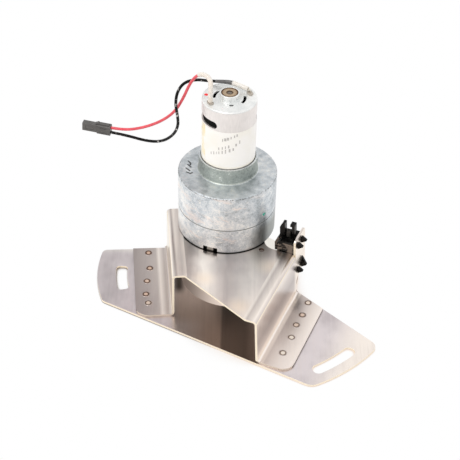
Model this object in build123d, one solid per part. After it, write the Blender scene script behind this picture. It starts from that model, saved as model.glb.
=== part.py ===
from build123d import *
from math import acos, atan2, cos, degrees, hypot, pi, radians, sin, sqrt, tan
import os

os.makedirs("parts", exist_ok=True)

# Millimetres and degrees. The origin is on the output shaft's axis at the underside of the base plate,
# +Z is up and +X runs along the straight front edge of the base plate. Angles are counted from +X.

# Base plate, a fan round the output axis
base_sheet = 1.5
opening_radius = 36.0
opening_rim = 10.0
front_edge = 70.5
left_end_radius = 93.8
right_end_radius = 119.5
left_back_normal, left_back_distance = 122.5, 26.7
right_back_normal, right_back_distance = 74.0, 17.4
slot_width = 8.0
slot_sweep = 18.0
left_slot_inset, left_slot_angle, left_slot_corner = 16.8, 215.0, 2.4
right_slot_inset, right_slot_angle, right_slot_corner = 11.0, -23.4, 3.9
front_corner, back_corner, lobe_fillet = 8.0, 4.0, 10.0

# Channel sheet that carries the gearbox
hat_sheet = 1.5
hat_height = 37.0
bend_inside = 1.5
flange_inset = 1.0
left_normal, left_distance, left_lean = 214.0, 44.2, 0.3
left_front_setback, left_rear, left_flange_edge = 11.0, -28.4, 68.2
right_normal, right_distance, right_lean = 6.7, 48.8, 3.0
right_front_setback, right_rear, right_flange_edge = 0.5, -5.5, 71.1
wall_rear = -3.6
front_tab = 8.5
flange_corner = 8.0
plate_lobe_inset = 2.0
plate_lobe_fillet = 9.0
pilot_hole, pilot_x, pilot_y = 2.0, 25.1, -6.6

# Upright ear at the rear of the right wall, with four holes for the sensor's hooks
ear_front, ear_rear = -5.0, 13.4
ear_top, ear_foot = 47.5, 18.5
ear_corner = 2.0
hook_spacing_along, hook_spacing_up = 7.2, 21.0
hook_middle_along, hook_middle_up = 2.9, 31.5
hook_hole_width, hook_hole_height = 2.6, 3.8

# Gearbox
gearbox_x, gearbox_y = -9.6, 7.4
lower_height = 19.1
upper_height = 26.35
lower_wall, upper_wall = 3.0, 2.5
floor_thickness = 3.0
ceiling_thickness = 4.5
housing_fillet, collar_fillet = 0.9, 1.2
seam_chamfer, rim_chamfer = 0.25, 0.5
adapter_thickness, adapter_inset = 1.5, 3.0
gear_plate_thickness = 1.5
gear_plate_seat = 1.2
collar_wall, collar_height = 1.75, 11.1
collar_relief, collar_relief_depth = 0.6, 2.5
notch_angle, notch_width, notch_height, notch_depth = -80.3, 10.0, 5.6, 2.3
tab_width, tab_height, tab_thickness, tab_gap = 4.4, 3.6, 1.2, 0.35
spigot_radius, spigot_reach = 10.0, 2.5
boss_radius = 3.5

# Screws
screw_radius = 1.5
screw_inset = 7.0
housing_screw_angles = [22.0, 96.0, 190.0]
bracket_screw_angles = [-60.0, -120.0]
screw_head_radius, screw_head_height, screw_recess = 2.9, 2.2, 0.6
screw_bite = 9.0
motor_screw_inset, motor_screw_angle = 5.4, 25.0
motor_screw_bite = 1.8

# Gear train, from the motor to the output
pressure_angle = 25.0
backlash = 0.12
first_module, motor_teeth, first_wheel_teeth = 0.5, 12, 52
second_module, first_pinion_teeth, second_wheel_teeth = 0.6, 14, 50
output_module, second_pinion_teeth, output_wheel_teeth = 0.8, 14, 40
second_axis_angle = 142.3
pin_radius = 1.5
running = 0.05
first_face, second_face, output_face = 4.5, 5.0, 8.0
gear_gap = 0.3
gear_addendum, gear_dedendum = 0.95, 1.25
second_wheel_rise, first_wheel_rise = 1.9, 4.0
pinion_overhang, pinion_end_gap = 0.5, 1.0
wheel_clearance = 1.12
output_radius = 4.0
output_journal = 3.0
output_flat = 0.5
output_flat_length = 10.0
output_reach = 23.5
bush_wall, bush_flange, bush_rise = 2.0, 1.5, 2.1
ring_thickness, ring_groove, ring_width, ring_play = 1.0, 0.4, 2.6, 0.2

# Motor
motor_offset, motor_direction = 2.6, 114.8
can_radius, can_wall, can_front = 17.9, 1.0, 1.2
can_length = 55.8
bell_thickness = 1.2
bell_boss_radius, bell_boss_height = 6.4, 4.0
pocket_depth = 1.5
label_thickness = 0.12
label_height, label_gap = 28.4, 0.5
vent_height, vent_start, vent_sweep, vent_below = 5.2, 193.0, 80.0, 10.4
shaft_radius = 1.6
bearing_wall = 1.65
rear_bearing_radius = 5.6
air_gap, armature_length, armature_poles = 0.8, 28.0, 5
magnet_thickness, magnet_length, magnet_sweep = 3.4, 37.0, 142.0
commutator_radius, commutator_length = 4.0, 9.0
winding_overhang = 3.6
brush_width, brush_height = 3.2, 4.0
holder_wall, holder_deck = 1.0, 2.0
holder_depth = 14.5
terminal_inset, terminal_angles = 3.9, [238.0, 50.0]
terminal_width, terminal_thickness, terminal_height = 1.8, 0.5, 3.0
lug_rise, lug_length = 2.4, 4.0
insulator_length, insulator_width, insulator_rise, insulator_lip = 5.6, 3.4, 0.8, 0.6
bell_vent_gap, bell_vent_width, bell_vent_sweep = 3.5, 1.9, 40.0
bell_vent_angles = [188.0, 16.0]
peep_gap, peep_angle, peep_length, peep_width = 2.8, -54.0, 3.0, 1.9

# Leads, sleeves and connector
lead_diameter = 2.0
sleeve_wall, sleeve_length = 0.6, 6.0
lead_pitch, lead_approach = 3.9, 10.0
red_rise = 6.0
red_route = [(-20.1, 1.7, 152.0), (-26.0, 5.4, 152.6), (-33.0, 7.0, 149.2), (-38.9, 8.0, 140.5),
             (-44.4, 8.8, 126.6), (-51.2, 9.2, 113.0), (-61.7, 9.5, 101.6), (-75.3, 9.2, 91.7)]
black_route = [(-13.6, 20.0, 142.4), (-21.9, 18.9, 141.1), (-30.7, 17.6, 139.3), (-38.9, 16.1, 138.6),
               (-46.0, 12.8, 136.0), (-48.6, 8.1, 130.8), (-48.1, 4.5, 123.6), (-46.2, 3.8, 115.6),
               (-46.3, 5.4, 106.4), (-51.3, 7.8, 95.2), (-61.1, 9.4, 85.0), (-73.4, 9.6, 80.4)]
connector_place = (-101.7, 7.0, 81.3)
connector_heading, connector_climb = 196.8, 3.0
connector_length, connector_height, connector_depth = 20.0, 7.2, 5.2
connector_nose, connector_step = 10.5, 0.5
contact_side, contact_length = 1.0, 9.0

# Fork sensor, measured in the ear's own leaning frame
sensor_width, sensor_depth = 14.4, 12.0
sensor_shift = -0.6
sensor_below, sensor_above = 16.5, 14.5
sensor_gap = 0.1
sensor_chamfer, sensor_corner = 2.4, 0.6
sensor_slots = [(9.7, 0.3), (5.4, 1.2)]
slot_length, slot_height, slot_depth = 6.5, 1.2, 0.8
fork_width, fork_length, fork_inset = 10.5, 4.0, 1.1
inner_prong, outer_prong = 3.6, 2.0
fork_rise, fork_height, fork_root = 4.3, 6.7, 3.0
finger_width, finger_height = 1.8, 3.6
cap_height, cap_lip = 1.8, 1.2
pocket_bottom, fork_pocket = 0.4, 1.6
wing_reach, wing_length, wing_height, wing_bottom = 3.2, 6.0, 11.0, 2.0
hook_width, hook_stem, hook_reach, hook_catch = 1.7, 2.2, 3.6, 0.7
hook_tip, hook_land, hook_spike = 0.6, 0.6, 3.6
insert_width, insert_rise, insert_fin = 2.6, 0.5, 0.8

# Radii that follow from what the round pieces hold: the output wheel fills the gearbox
output_tip_radius = output_module * (output_wheel_teeth / 2 + gear_addendum)
gearbox_radius = hypot(gearbox_x, gearbox_y) + output_tip_radius + wheel_clearance + lower_wall
plate_lobe_radius = gearbox_radius - plate_lobe_inset
adapter_radius = gearbox_radius - adapter_inset
screw_circle_radius = gearbox_radius - screw_inset
collar_radius = can_radius + collar_wall
armature_radius = can_radius - can_wall - magnet_thickness - air_gap
terminal_radius = can_radius - terminal_inset
motor_screw_radius = can_radius - motor_screw_inset
bell_vent_radius = bell_boss_radius + bell_vent_gap
peep_radius = bell_boss_radius + peep_gap
left_slot_radius = left_end_radius - left_slot_inset
right_slot_radius = right_end_radius - right_slot_inset

# Levels
flange_top = base_sheet + hat_sheet
gearbox_bottom = hat_height
floor_bottom = gearbox_bottom + adapter_thickness
floor_top = floor_bottom + floor_thickness
seam = gearbox_bottom + lower_height
gear_plate_bottom = seam - gear_plate_thickness
gearbox_top = seam + upper_height
ceiling = gearbox_top - ceiling_thickness
can_bottom = gearbox_top - pocket_depth
can_top = can_bottom + can_length
bell_top = can_top + bell_thickness
collar_top = gearbox_top + collar_height
spigot_bottom = gearbox_bottom - hat_sheet - spigot_reach
output_tip = gearbox_bottom - hat_sheet - output_reach
ring_top = spigot_bottom - ring_play
ring_bottom = ring_top - ring_thickness

# Gear axes: the output at the origin, the motor beside the gearbox axis, two arbors between
motor_x = gearbox_x + motor_offset * cos(radians(motor_direction))
motor_y = gearbox_y + motor_offset * sin(radians(motor_direction))
first_distance = first_module * (motor_teeth + first_wheel_teeth) / 2
second_distance = second_module * (first_pinion_teeth + second_wheel_teeth) / 2
output_distance = output_module * (second_pinion_teeth + output_wheel_teeth) / 2
second_x = output_distance * cos(radians(second_axis_angle))
second_y = output_distance * sin(radians(second_axis_angle))
motor_to_second = hypot(second_x - motor_x, second_y - motor_y)
motor_to_second_angle = degrees(atan2(second_y - motor_y, second_x - motor_x))
spread_cosine = (first_distance ** 2 + motor_to_second ** 2 - second_distance ** 2) / (
    2 * first_distance * motor_to_second)
first_angle = motor_to_second_angle + degrees(acos(spread_cosine))
first_x = motor_x + first_distance * cos(radians(first_angle))
first_y = motor_y + first_distance * sin(radians(first_angle))

# Heights of the gears
output_wheel_bottom = floor_top + bush_rise + gear_gap
output_wheel_top = output_wheel_bottom + output_face
second_wheel_bottom = seam + second_wheel_rise
second_wheel_top = second_wheel_bottom + second_face
first_wheel_bottom = second_wheel_top + first_wheel_rise
first_wheel_top = first_wheel_bottom + first_face
motor_pinion_bottom = first_wheel_bottom - pinion_overhang
motor_pinion_top = ceiling - pinion_end_gap


def polar(radius, angle, x=0.0, y=0.0):
    return x + radius * cos(radians(angle)), y + radius * sin(radians(angle))


def column(radius, bottom, top, x=0.0, y=0.0):
    return Pos(x, y, bottom) * extrude(Circle(radius), top - bottom)


def tube(outer, inner, bottom, top, x=0.0, y=0.0):
    return Pos(x, y, bottom) * extrude(Circle(outer) - Circle(inner), top - bottom)


def half_plane(normal, offset):
    size = 4 * right_end_radius
    return Rot(0, 0, normal) * Pos(offset - size / 2, 0) * Rectangle(size, size)


def on_circle(normal, offset, radius, side):
    along = side * sqrt(radius ** 2 - offset ** 2)
    return polar(along, normal + 90, *polar(offset, normal))


def on_side(normal, outward, along):
    return polar(along, normal + 90, *polar(outward, normal))


def along_side(normal, outward, setback):
    # how far along a side the line lies that runs behind the front edge by the setback
    return (setback - front_edge - outward * sin(radians(normal))) / cos(radians(normal))


def rounded(sketch, corners, radius):
    picked = [min(sketch.vertices(), key=lambda v: hypot(v.X - x, v.Y - y)) for x, y in corners]
    return fillet(picked, radius)


def save(node, *solids):
    shape = solids[0] if len(solids) == 1 else Compound(children=list(solids))
    export_step(shape, f"parts/{node}.step")


# Base plate: the fan outline, its two arc slots and the round opening
def base_outline():
    lobe = opening_radius + opening_rim
    front = half_plane(270, front_edge)
    left = Circle(left_end_radius) & half_plane(0, 0)
    left &= half_plane(left_back_normal, left_back_distance)
    right = Circle(right_end_radius) & half_plane(180, 0)
    right &= half_plane(right_back_normal, right_back_distance)
    outline = ((left + right) & front) + Circle(lobe)
    outline = rounded(outline, [on_circle(270, front_edge, right_end_radius, 1)], front_corner)
    outline = rounded(outline, [on_circle(right_back_normal, right_back_distance, right_end_radius, -1)],
                      1.5 * back_corner)
    outline = rounded(outline, [on_circle(left_back_normal, left_back_distance, left_end_radius, 1),
                                on_circle(270, front_edge, left_end_radius, -1)], back_corner)
    return rounded(outline, [on_circle(left_back_normal, left_back_distance, lobe, 1),
                             on_circle(right_back_normal, right_back_distance, lobe, -1)], lobe_fillet)


def arc_slot(radius, middle, corner):
    inner, outer = radius - slot_width / 2, radius + slot_width / 2
    start, end = middle - slot_sweep / 2, middle + slot_sweep / 2
    slot = (Circle(outer) - Circle(inner)) & half_plane(start - 90, 0) & half_plane(end + 90, 0)
    corners = [polar(r, a) for r in (inner, outer) for a in (start, end)]
    return rounded(slot, corners, corner)


def base_plate():
    outline = base_outline() - Circle(opening_radius)
    outline -= arc_slot(left_slot_radius, left_slot_angle, left_slot_corner)
    outline -= arc_slot(right_slot_radius, right_slot_angle, right_slot_corner)
    return extrude(outline, base_sheet)


# Channel sheet: two bent sides, the top plate between them and the ear, one sheet of even thickness
def wall_outside(offset, lean, height):
    return offset - (height - flange_top) * tan(radians(lean))


def side_profile(offset, lean, flange_edge):
    through = hat_sheet / cos(radians(lean))
    inner = offset - 3 * (bend_inside + hat_sheet)
    top, under = hat_height, hat_height - hat_sheet
    outside_top = wall_outside(offset, lean, top)
    inside_top = wall_outside(offset, lean, under) - through
    inside_foot = wall_outside(offset, lean, base_sheet) - through
    profile = Polygon((inner, top), (outside_top, top), (offset, flange_top), (flange_edge, flange_top),
                      (flange_edge, base_sheet), (inside_foot, base_sheet), (inside_top, under),
                      (inner, under), align=None)
    profile = rounded(profile, [(outside_top, top), (inside_foot, base_sheet)], bend_inside + hat_sheet)
    return rounded(profile, [(offset, flange_top), (inside_top, under)], bend_inside)


def bent_side(normal, offset, lean, flange_edge, front, rear):
    start, end = min(front, rear), max(front, rear)
    profile = Plane.XZ * side_profile(offset, lean, flange_edge)
    side = extrude(Pos(0, start, 0) * profile, end - start, dir=(0, 1, 0))
    # the flange follows the base plate's rear edge and has a rounded front corner
    reach = 2 * flange_edge
    blank = Pos(flange_edge - reach / 2, (start + end) / 2) * Rectangle(reach, end - start)
    blank = rounded(blank, [(flange_edge, front)], flange_corner)
    blank = (Rot(0, 0, normal) * blank) & offset_inward(base_outline(), flange_inset)
    level = extrude(Rectangle(8 * flange_edge, 8 * flange_edge) - blank, flange_top)
    return Rot(0, 0, normal) * side - level


def offset_inward(sketch, distance):
    return offset(sketch, -distance)


def side_fronts():
    return (along_side(left_normal, left_distance, left_front_setback),
            along_side(right_normal, right_distance, right_front_setback))


def top_plate_outline():
    left_top = wall_outside(left_distance, left_lean, hat_height) - 2 * (bend_inside + hat_sheet)
    right_top = wall_outside(right_distance, right_lean, hat_height) - 2 * (bend_inside + hat_sheet)
    left_tab = left_distance - front_tab
    right_tab = right_distance - front_tab - hat_sheet
    left_front, right_front = side_fronts()
    middle = Polygon(
        on_side(left_normal, left_top, left_front), on_side(left_normal, left_tab, left_front),
        on_side(right_normal, right_tab, right_front), on_side(right_normal, right_top, right_front),
        on_side(right_normal, right_top, right_rear), on_side(right_normal, bend_inside, right_rear),
        on_side(left_normal, bend_inside, left_rear), on_side(left_normal, left_top, left_rear), align=None)
    plate = middle + Pos(gearbox_x, gearbox_y) * Circle(plate_lobe_radius)
    plate = rounded(plate, [lobe_crossing(left_normal, left_rear)], plate_lobe_fillet / 2)
    return rounded(plate, [lobe_crossing(right_normal, right_rear)], plate_lobe_fillet)


def lobe_crossing(normal, along):
    # where the strip's rear edge meets the lobe under the gearbox
    outward = gearbox_x * cos(radians(normal)) + gearbox_y * sin(radians(normal))
    sideways = gearbox_y * cos(radians(normal)) - gearbox_x * sin(radians(normal))
    return on_side(normal, outward + sqrt(plate_lobe_radius ** 2 - (along - sideways) ** 2), along)


def ear():
    foot, top = base_sheet, ear_top + hat_sheet
    through = hat_sheet / cos(radians(right_lean))
    slab = Polygon((wall_outside(right_distance, right_lean, foot), foot),
                   (wall_outside(right_distance, right_lean, top), top),
                   (wall_outside(right_distance, right_lean, top) - through, top),
                   (wall_outside(right_distance, right_lean, foot) - through, foot), align=None)
    joined = wall_rear - 4 * hat_sheet
    step = flange_top + bend_inside + 3 * hat_sheet
    under_bend = hat_height - hat_sheet - 2 * bend_inside
    sheet = Polygon((joined, step), (wall_rear, step), (wall_rear, ear_foot - 2 * ear_corner),
                    (ear_rear, ear_foot), (ear_rear, ear_top), (ear_front, ear_top), (ear_front, under_bend),
                    (joined, under_bend), align=None)
    sheet = rounded(sheet, [(ear_rear, ear_foot), (ear_rear, ear_top), (ear_front, ear_top)], ear_corner)
    sheet = rounded(sheet, [(wall_rear, ear_foot - 2 * ear_corner)], 2 * ear_corner)
    slab = extrude(Plane.XZ * slab, 2 * right_distance, both=True)
    sheet = extrude(Plane.YZ * sheet, 2 * right_distance)
    return Rot(0, 0, right_normal) * (slab & sheet)


def ear_frame():
    # on the ear's inner face at the middle of the hook holes: X outward, Y along the wall, Z up the sheet
    inner = wall_outside(right_distance, right_lean, hook_middle_up) - hat_sheet / cos(radians(right_lean))
    return (Rot(0, 0, right_normal) * Pos(inner, hook_middle_along, hook_middle_up)
            * Rot(0, -right_lean, 0))


def hook_places():
    return [Pos(0, along * hook_spacing_along / 2, up * hook_spacing_up / 2)
            for along in (-1, 1) for up in (-1, 1)]


def screw_places(angles):
    return [polar(screw_circle_radius, angle, gearbox_x, gearbox_y) for angle in angles]


def motor_bracket():
    plate = Pos(0, 0, hat_height - hat_sheet) * extrude(top_plate_outline(), hat_sheet)
    left_front, right_front = side_fronts()
    sheet = plate + bent_side(left_normal, left_distance, left_lean, left_flange_edge, left_front, left_rear)
    right = bent_side(right_normal, right_distance, right_lean, right_flange_edge, right_front, wall_rear)
    # the top bend ends with the strip, ahead of the wall's own rear edge
    strip_end = Box(1.5 * right_distance, 2 * (wall_rear - right_rear), 4 * (bend_inside + hat_sheet),
                    align=(Align.CENTER, Align.MIN, Align.CENTER))
    right -= Rot(0, 0, right_normal) * Pos(right_distance / 2, right_rear, hat_height) * strip_end
    sheet += right + ear()
    under = hat_height - 2 * hat_sheet
    over = hat_height + hat_sheet
    sheet -= column(spigot_radius + running, under, over)
    sheet -= column(pilot_hole, under, over, pilot_x, pilot_y)
    for x, y in screw_places(housing_screw_angles + bracket_screw_angles):
        sheet -= column(screw_radius + 2 * running, under, over, x, y)
    hole = Box(4 * hat_sheet, hook_hole_width, hook_hole_height)
    for place in hook_places():
        sheet -= ear_frame() * place * hole
    return sheet


# Gearbox housings, die cast
def notch():
    place = Pos(gearbox_x, gearbox_y, gearbox_bottom) * Rot(0, 0, notch_angle)
    grow = (Align.MIN, Align.CENTER, Align.MIN)
    recess = Pos(gearbox_radius - notch_depth, 0, 0) * Box(
        2 * notch_depth, notch_width, notch_height, align=grow)
    finger_slot = Pos(adapter_radius / 2, 0, 0) * Box(
        gearbox_radius, tab_width + 2 * tab_gap, adapter_thickness + tab_gap, align=grow)
    return place * (recess + finger_slot)


def lower_housing():
    x, y = gearbox_x, gearbox_y
    cavity_radius = gearbox_radius - lower_wall
    body = column(gearbox_radius, gearbox_bottom, seam, x, y)
    body = chamfer(body.faces().sort_by(Axis.Z)[-1].edges(), seam_chamfer)
    body = chamfer(body.faces().sort_by(Axis.Z)[0].edges(), rim_chamfer)
    body -= column(cavity_radius, floor_top, seam, x, y)
    room = column(gearbox_radius - lower_wall / 2, gearbox_bottom, seam, x, y)
    for sx, sy in screw_places(housing_screw_angles):
        body += column(boss_radius, floor_top, gear_plate_bottom, sx, sy) & room
    for sx, sy in screw_places(bracket_screw_angles):
        body += column(boss_radius, floor_top, floor_top + bush_rise - gear_gap, sx, sy) & room
    body -= column(cavity_radius + gear_plate_seat, gear_plate_bottom, seam, x, y)
    body -= column(adapter_radius, gearbox_bottom, floor_bottom, x, y)
    body -= notch()
    body += column(spigot_radius, spigot_bottom, floor_top)
    body -= column(output_radius + bush_wall, spigot_bottom, floor_top)
    body += column(boss_radius, floor_top, output_wheel_bottom - gear_gap, second_x, second_y)
    body -= column(pin_radius, floor_bottom + gear_gap, output_wheel_bottom, second_x, second_y)
    for sx, sy in screw_places(housing_screw_angles + bracket_screw_angles):
        body -= column(screw_radius, floor_bottom, seam, sx, sy)
    return body


def upper_housing():
    x, y = gearbox_x, gearbox_y
    body = column(gearbox_radius, seam, gearbox_top, x, y)
    body = fillet(body.faces().sort_by(Axis.Z)[-1].edges(), housing_fillet)
    body = chamfer(body.faces().sort_by(Axis.Z)[0].edges(), seam_chamfer)
    body += column(collar_radius, ceiling, collar_top, motor_x, motor_y)
    foot = [e for e in body.edges().filter_by(GeomType.CIRCLE)
            if abs(e.radius - collar_radius) < running and abs(e.center().Z - gearbox_top) < running]
    body = fillet(foot, collar_fillet)
    body -= column(gearbox_radius - upper_wall, seam, ceiling, x, y)
    room = column(gearbox_radius - upper_wall / 2, seam, ceiling, x, y)
    for sx, sy in screw_places(housing_screw_angles):
        body += column(boss_radius, seam, ceiling, sx, sy) & room
    body -= column(can_radius + label_thickness, can_bottom, collar_top, motor_x, motor_y)
    body -= column(can_radius + collar_relief, collar_top - collar_relief_depth, collar_top, motor_x, motor_y)
    body -= column(bearing_boss_radius() + running, ceiling, can_bottom, motor_x, motor_y)
    for px, py in ((first_x, first_y), (second_x, second_y)):
        body -= column(pin_radius, ceiling, ceiling + pin_radius, px, py)
    for sx, sy in screw_places(housing_screw_angles):
        body -= column(screw_radius, seam, seam + screw_bite, sx, sy)
    for sx, sy in motor_screw_places():
        body -= column(screw_radius + running, ceiling, can_bottom, sx, sy)
    return body


def bearing_boss_radius():
    return shaft_radius + bearing_wall + can_front


def motor_screw_places():
    return [polar(motor_screw_radius, motor_screw_angle + turn, motor_x, motor_y) for turn in (0, 180)]


def adapter_plate():
    place = Pos(gearbox_x, gearbox_y, gearbox_bottom)
    plate = extrude(Circle(adapter_radius), adapter_thickness)
    finger_end = gearbox_radius - tab_gap
    grow = (Align.MIN, Align.CENTER, Align.MIN)
    finger = Pos(adapter_radius / 2, 0, 0) * Box(
        finger_end - adapter_radius / 2, tab_width, adapter_thickness, align=grow)
    upright = Pos(finger_end - tab_thickness, 0, 0) * Box(
        tab_thickness, tab_width, tab_height, align=grow)
    upright = fillet(upright.edges().filter_by(Axis.X).group_by(Axis.Z)[-1], tab_width / 4)
    plate = place * Rot(0, 0, notch_angle) * (plate + finger + upright)
    plate -= column(spigot_radius, gearbox_bottom, floor_bottom)
    for sx, sy in screw_places(housing_screw_angles + bracket_screw_angles):
        plate -= column(screw_radius + 2 * running, gearbox_bottom, floor_bottom, sx, sy)
    return plate


def gear_plate():
    plate_radius = gearbox_radius - lower_wall + gear_plate_seat
    plate = column(plate_radius, gear_plate_bottom, seam, gearbox_x, gearbox_y)
    plate -= column(output_journal + bush_flange, gear_plate_bottom, seam)
    pinion_tip = output_module * (second_pinion_teeth / 2 + 1)
    plate -= column(pinion_tip + 2 * gear_gap, gear_plate_bottom, seam, second_x, second_y)
    plate -= column(pin_radius, gear_plate_bottom, seam, first_x, first_y)
    for sx, sy in screw_places(housing_screw_angles):
        plate -= column(screw_radius + 2 * running, gear_plate_bottom, seam, sx, sy)
    return plate


# Screws: a pan head below, the thread's outer size above
def screw(x, y, head_bottom, tip):
    head = column(screw_head_radius, head_bottom, head_bottom + screw_head_height, x, y)
    head = chamfer(head.faces().sort_by(Axis.Z)[0].edges(), screw_head_height / 4)
    cross = Rectangle(screw_head_radius, screw_recess) + Rectangle(screw_recess, screw_head_radius)
    recess = Pos(x, y, head_bottom) * extrude(cross, screw_head_height / 2)
    return head - recess + column(screw_radius, head_bottom + screw_head_height, tip, x, y)


def housing_screws():
    seat = hat_height - hat_sheet - screw_head_height
    return [screw(x, y, seat, seam + screw_bite) for x, y in screw_places(housing_screw_angles)]


def bracket_screws():
    seat = hat_height - hat_sheet - screw_head_height
    tip = floor_top + bush_rise - 2 * gear_gap
    return [screw(x, y, seat, tip) for x, y in screw_places(bracket_screw_angles)]


def motor_screws():
    seat = ceiling - screw_head_height
    return [screw(x, y, seat, can_bottom + motor_screw_bite) for x, y in motor_screw_places()]


# Gears: involute flanks as short chords, thinned by the backlash
def gear_outline(module, teeth, phase):
    pitch = module * teeth / 2
    base = pitch * cos(radians(pressure_angle))
    tip, root = pitch + gear_addendum * module, pitch - gear_dedendum * module
    spread = pi / (2 * teeth) - backlash / (2 * pitch) + involute(pitch, base)
    start = max(base, root)
    flank = [(r, spread - involute(r, base)) for r in (start, (start + pitch) / 2, (pitch + tip) / 2, tip)]
    if root < base:
        flank.insert(0, (root, spread))
    points = []
    for tooth in range(teeth):
        middle = radians(phase) + 2 * pi * tooth / teeth
        for r, half in flank:
            points.append((r * cos(middle - half), r * sin(middle - half)))
        for r, half in reversed(flank):
            points.append((r * cos(middle + half), r * sin(middle + half)))
    return Polygon(*points, align=None)


def involute(radius, base):
    angle = acos(min(1.0, base / radius))
    return tan(angle) - angle


def gear(module, teeth, phase, bottom, top, bore, x, y):
    return Pos(x, y, bottom) * extrude(gear_outline(module, teeth, phase) - Circle(bore), top - bottom)


def heading(from_x, from_y, to_x, to_y):
    return degrees(atan2(to_y - from_y, to_x - from_x))


def meshing_gap(angle, teeth):
    # turns a wheel so that a gap faces the pinion that drives it
    return angle + 180 + 180 / teeth


def lightened(wheel, module, teeth, hub, bottom, top, x, y):
    # a shallow web between rim and hub on both faces
    rim = module * (teeth / 2 - 2.5)
    depth = (top - bottom) / 4
    for level in (bottom, top - depth):
        wheel -= tube(rim, hub, level, level + depth, x, y)
    return wheel


def motor_pinion():
    angle = heading(motor_x, motor_y, first_x, first_y)
    return gear(first_module, motor_teeth, angle, motor_pinion_bottom, motor_pinion_top, shaft_radius,
                motor_x, motor_y)


def first_gear():
    bore = pin_radius + running
    wheel_angle = meshing_gap(heading(motor_x, motor_y, first_x, first_y), first_wheel_teeth)
    pinion_angle = heading(first_x, first_y, second_x, second_y)
    wheel = gear(first_module, first_wheel_teeth, wheel_angle, first_wheel_bottom, first_wheel_top, bore,
                 first_x, first_y)
    hub = second_module * first_pinion_teeth / 2
    wheel = lightened(wheel, first_module, first_wheel_teeth, hub, first_wheel_bottom, first_wheel_top,
                      first_x, first_y)
    pinion = gear(second_module, first_pinion_teeth, pinion_angle, seam + gear_gap, first_wheel_bottom, bore,
                  first_x, first_y)
    return wheel + pinion + tube(hub, bore, first_wheel_top, ceiling - gear_gap, first_x, first_y)


def second_gear():
    bore = pin_radius + running
    wheel_angle = meshing_gap(heading(first_x, first_y, second_x, second_y), second_wheel_teeth)
    pinion_angle = heading(second_x, second_y, 0, 0)
    wheel = gear(second_module, second_wheel_teeth, wheel_angle, second_wheel_bottom, second_wheel_top, bore,
                 second_x, second_y)
    hub = output_module * second_pinion_teeth / 2
    wheel = lightened(wheel, second_module, second_wheel_teeth, hub, second_wheel_bottom, second_wheel_top,
                      second_x, second_y)
    pinion = gear(output_module, second_pinion_teeth, pinion_angle, output_wheel_bottom, second_wheel_bottom,
                  bore, second_x, second_y)
    sleeve = tube(2 * pin_radius, bore, second_wheel_top, ceiling - gear_gap, second_x, second_y)
    return wheel + pinion + sleeve


def output_wheel():
    angle = meshing_gap(heading(second_x, second_y, 0, 0), output_wheel_teeth)
    wheel = gear(output_module, output_wheel_teeth, angle, output_wheel_bottom, output_wheel_top,
                 output_radius, 0, 0)
    return lightened(wheel, output_module, output_wheel_teeth, 2 * output_radius, output_wheel_bottom,
                     output_wheel_top, 0, 0)


def output_shaft():
    shaft = column(output_radius, output_tip, output_wheel_top + gear_gap)
    shaft = chamfer(shaft.faces().sort_by(Axis.Z)[0].edges(), 0.5)
    shaft += column(output_journal, output_wheel_top + gear_gap, seam + gear_gap)
    shaft -= tube(2 * output_radius, output_radius - ring_groove, ring_bottom, ring_top)
    flat = Pos(output_radius - output_flat, 0, output_tip) * Box(
        output_radius, 3 * output_radius, output_flat_length, align=(Align.MIN, Align.CENTER, Align.MIN))
    return shaft - flat


def retaining_ring():
    # a spring ring in the shaft's groove, open on one side, with three inner pads
    inner = output_radius - ring_groove
    ring = Circle(inner + ring_width) - Circle(output_radius + ring_groove)
    for turn in (90, 180, 270):
        pad = Pos(output_radius, 0) * Rectangle(2 * ring_groove + 1, 0.8 * output_radius)
        ring += Rot(0, 0, turn) * pad
    ring -= Circle(inner)
    ring -= Pos(output_radius, 0) * Rectangle(2 * output_radius, 1.5 * inner)
    return Pos(0, 0, ring_bottom) * extrude(ring, ring_thickness)


def output_bush():
    outer = output_radius + bush_wall
    bush = tube(outer, output_radius + running, spigot_bottom, floor_top)
    return bush + tube(outer + bush_flange, output_radius + running, floor_top, floor_top + bush_rise)


def output_top_bush():
    return tube(output_journal + bush_flange, output_journal + running, gear_plate_bottom, seam)


def gear_pin(x, y, bottom):
    return column(pin_radius, bottom, ceiling + pin_radius, x, y)


# Motor: can, magnets, rotor, bearings, brush gear and end bell
def magnet_bottom():
    return can_bottom + can_front + bearing_wall


def stack_bottom():
    return magnet_bottom() + (magnet_length - armature_length) / 2


def commutator_bottom():
    return stack_bottom() + armature_length + winding_overhang + gear_gap


def motor_can():
    x, y = motor_x, motor_y
    can = column(can_radius, can_bottom, can_top, x, y)
    can = fillet(can.faces().sort_by(Axis.Z)[0].edges(), can_wall)
    can -= column(can_radius - can_wall, can_bottom + can_front, can_top, x, y)
    can += column(bearing_boss_radius(), ceiling + gear_gap, can_bottom + can_front, x, y)
    can -= column(shaft_radius + bearing_wall, ceiling + gear_gap, can_bottom + can_front, x, y)
    for sx, sy in motor_screw_places():
        can -= column(screw_radius, can_bottom, can_bottom + can_front, sx, sy)
    for turn in (0, 180):
        can -= can_vent(vent_start + turn)
    return can


def can_vent(start):
    # a long slot with round ends, cut through the wall along its circumference
    middle = can_top - vent_below
    sweep = vent_sweep - degrees(vent_height / can_radius)
    first = start + (vent_sweep - sweep) / 2
    reach = 2 * can_wall
    band = tube(can_radius + reach, can_radius - reach, middle - vent_height / 2, middle + vent_height / 2)
    wedge = Pos(0, 0, middle - vent_height) * extrude(
        Polygon((0, 0), *[polar(2 * can_radius, first + sweep * step / 4) for step in range(5)], align=None),
        2 * vent_height)
    slot = band & wedge
    for end in (first, first + sweep):
        place = Rot(0, 0, end) * Pos(can_radius, 0, middle) * Rot(0, 90, 0)
        slot += place * Cylinder(vent_height / 2, 2 * reach)
    return Pos(motor_x, motor_y, 0) * slot


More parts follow.
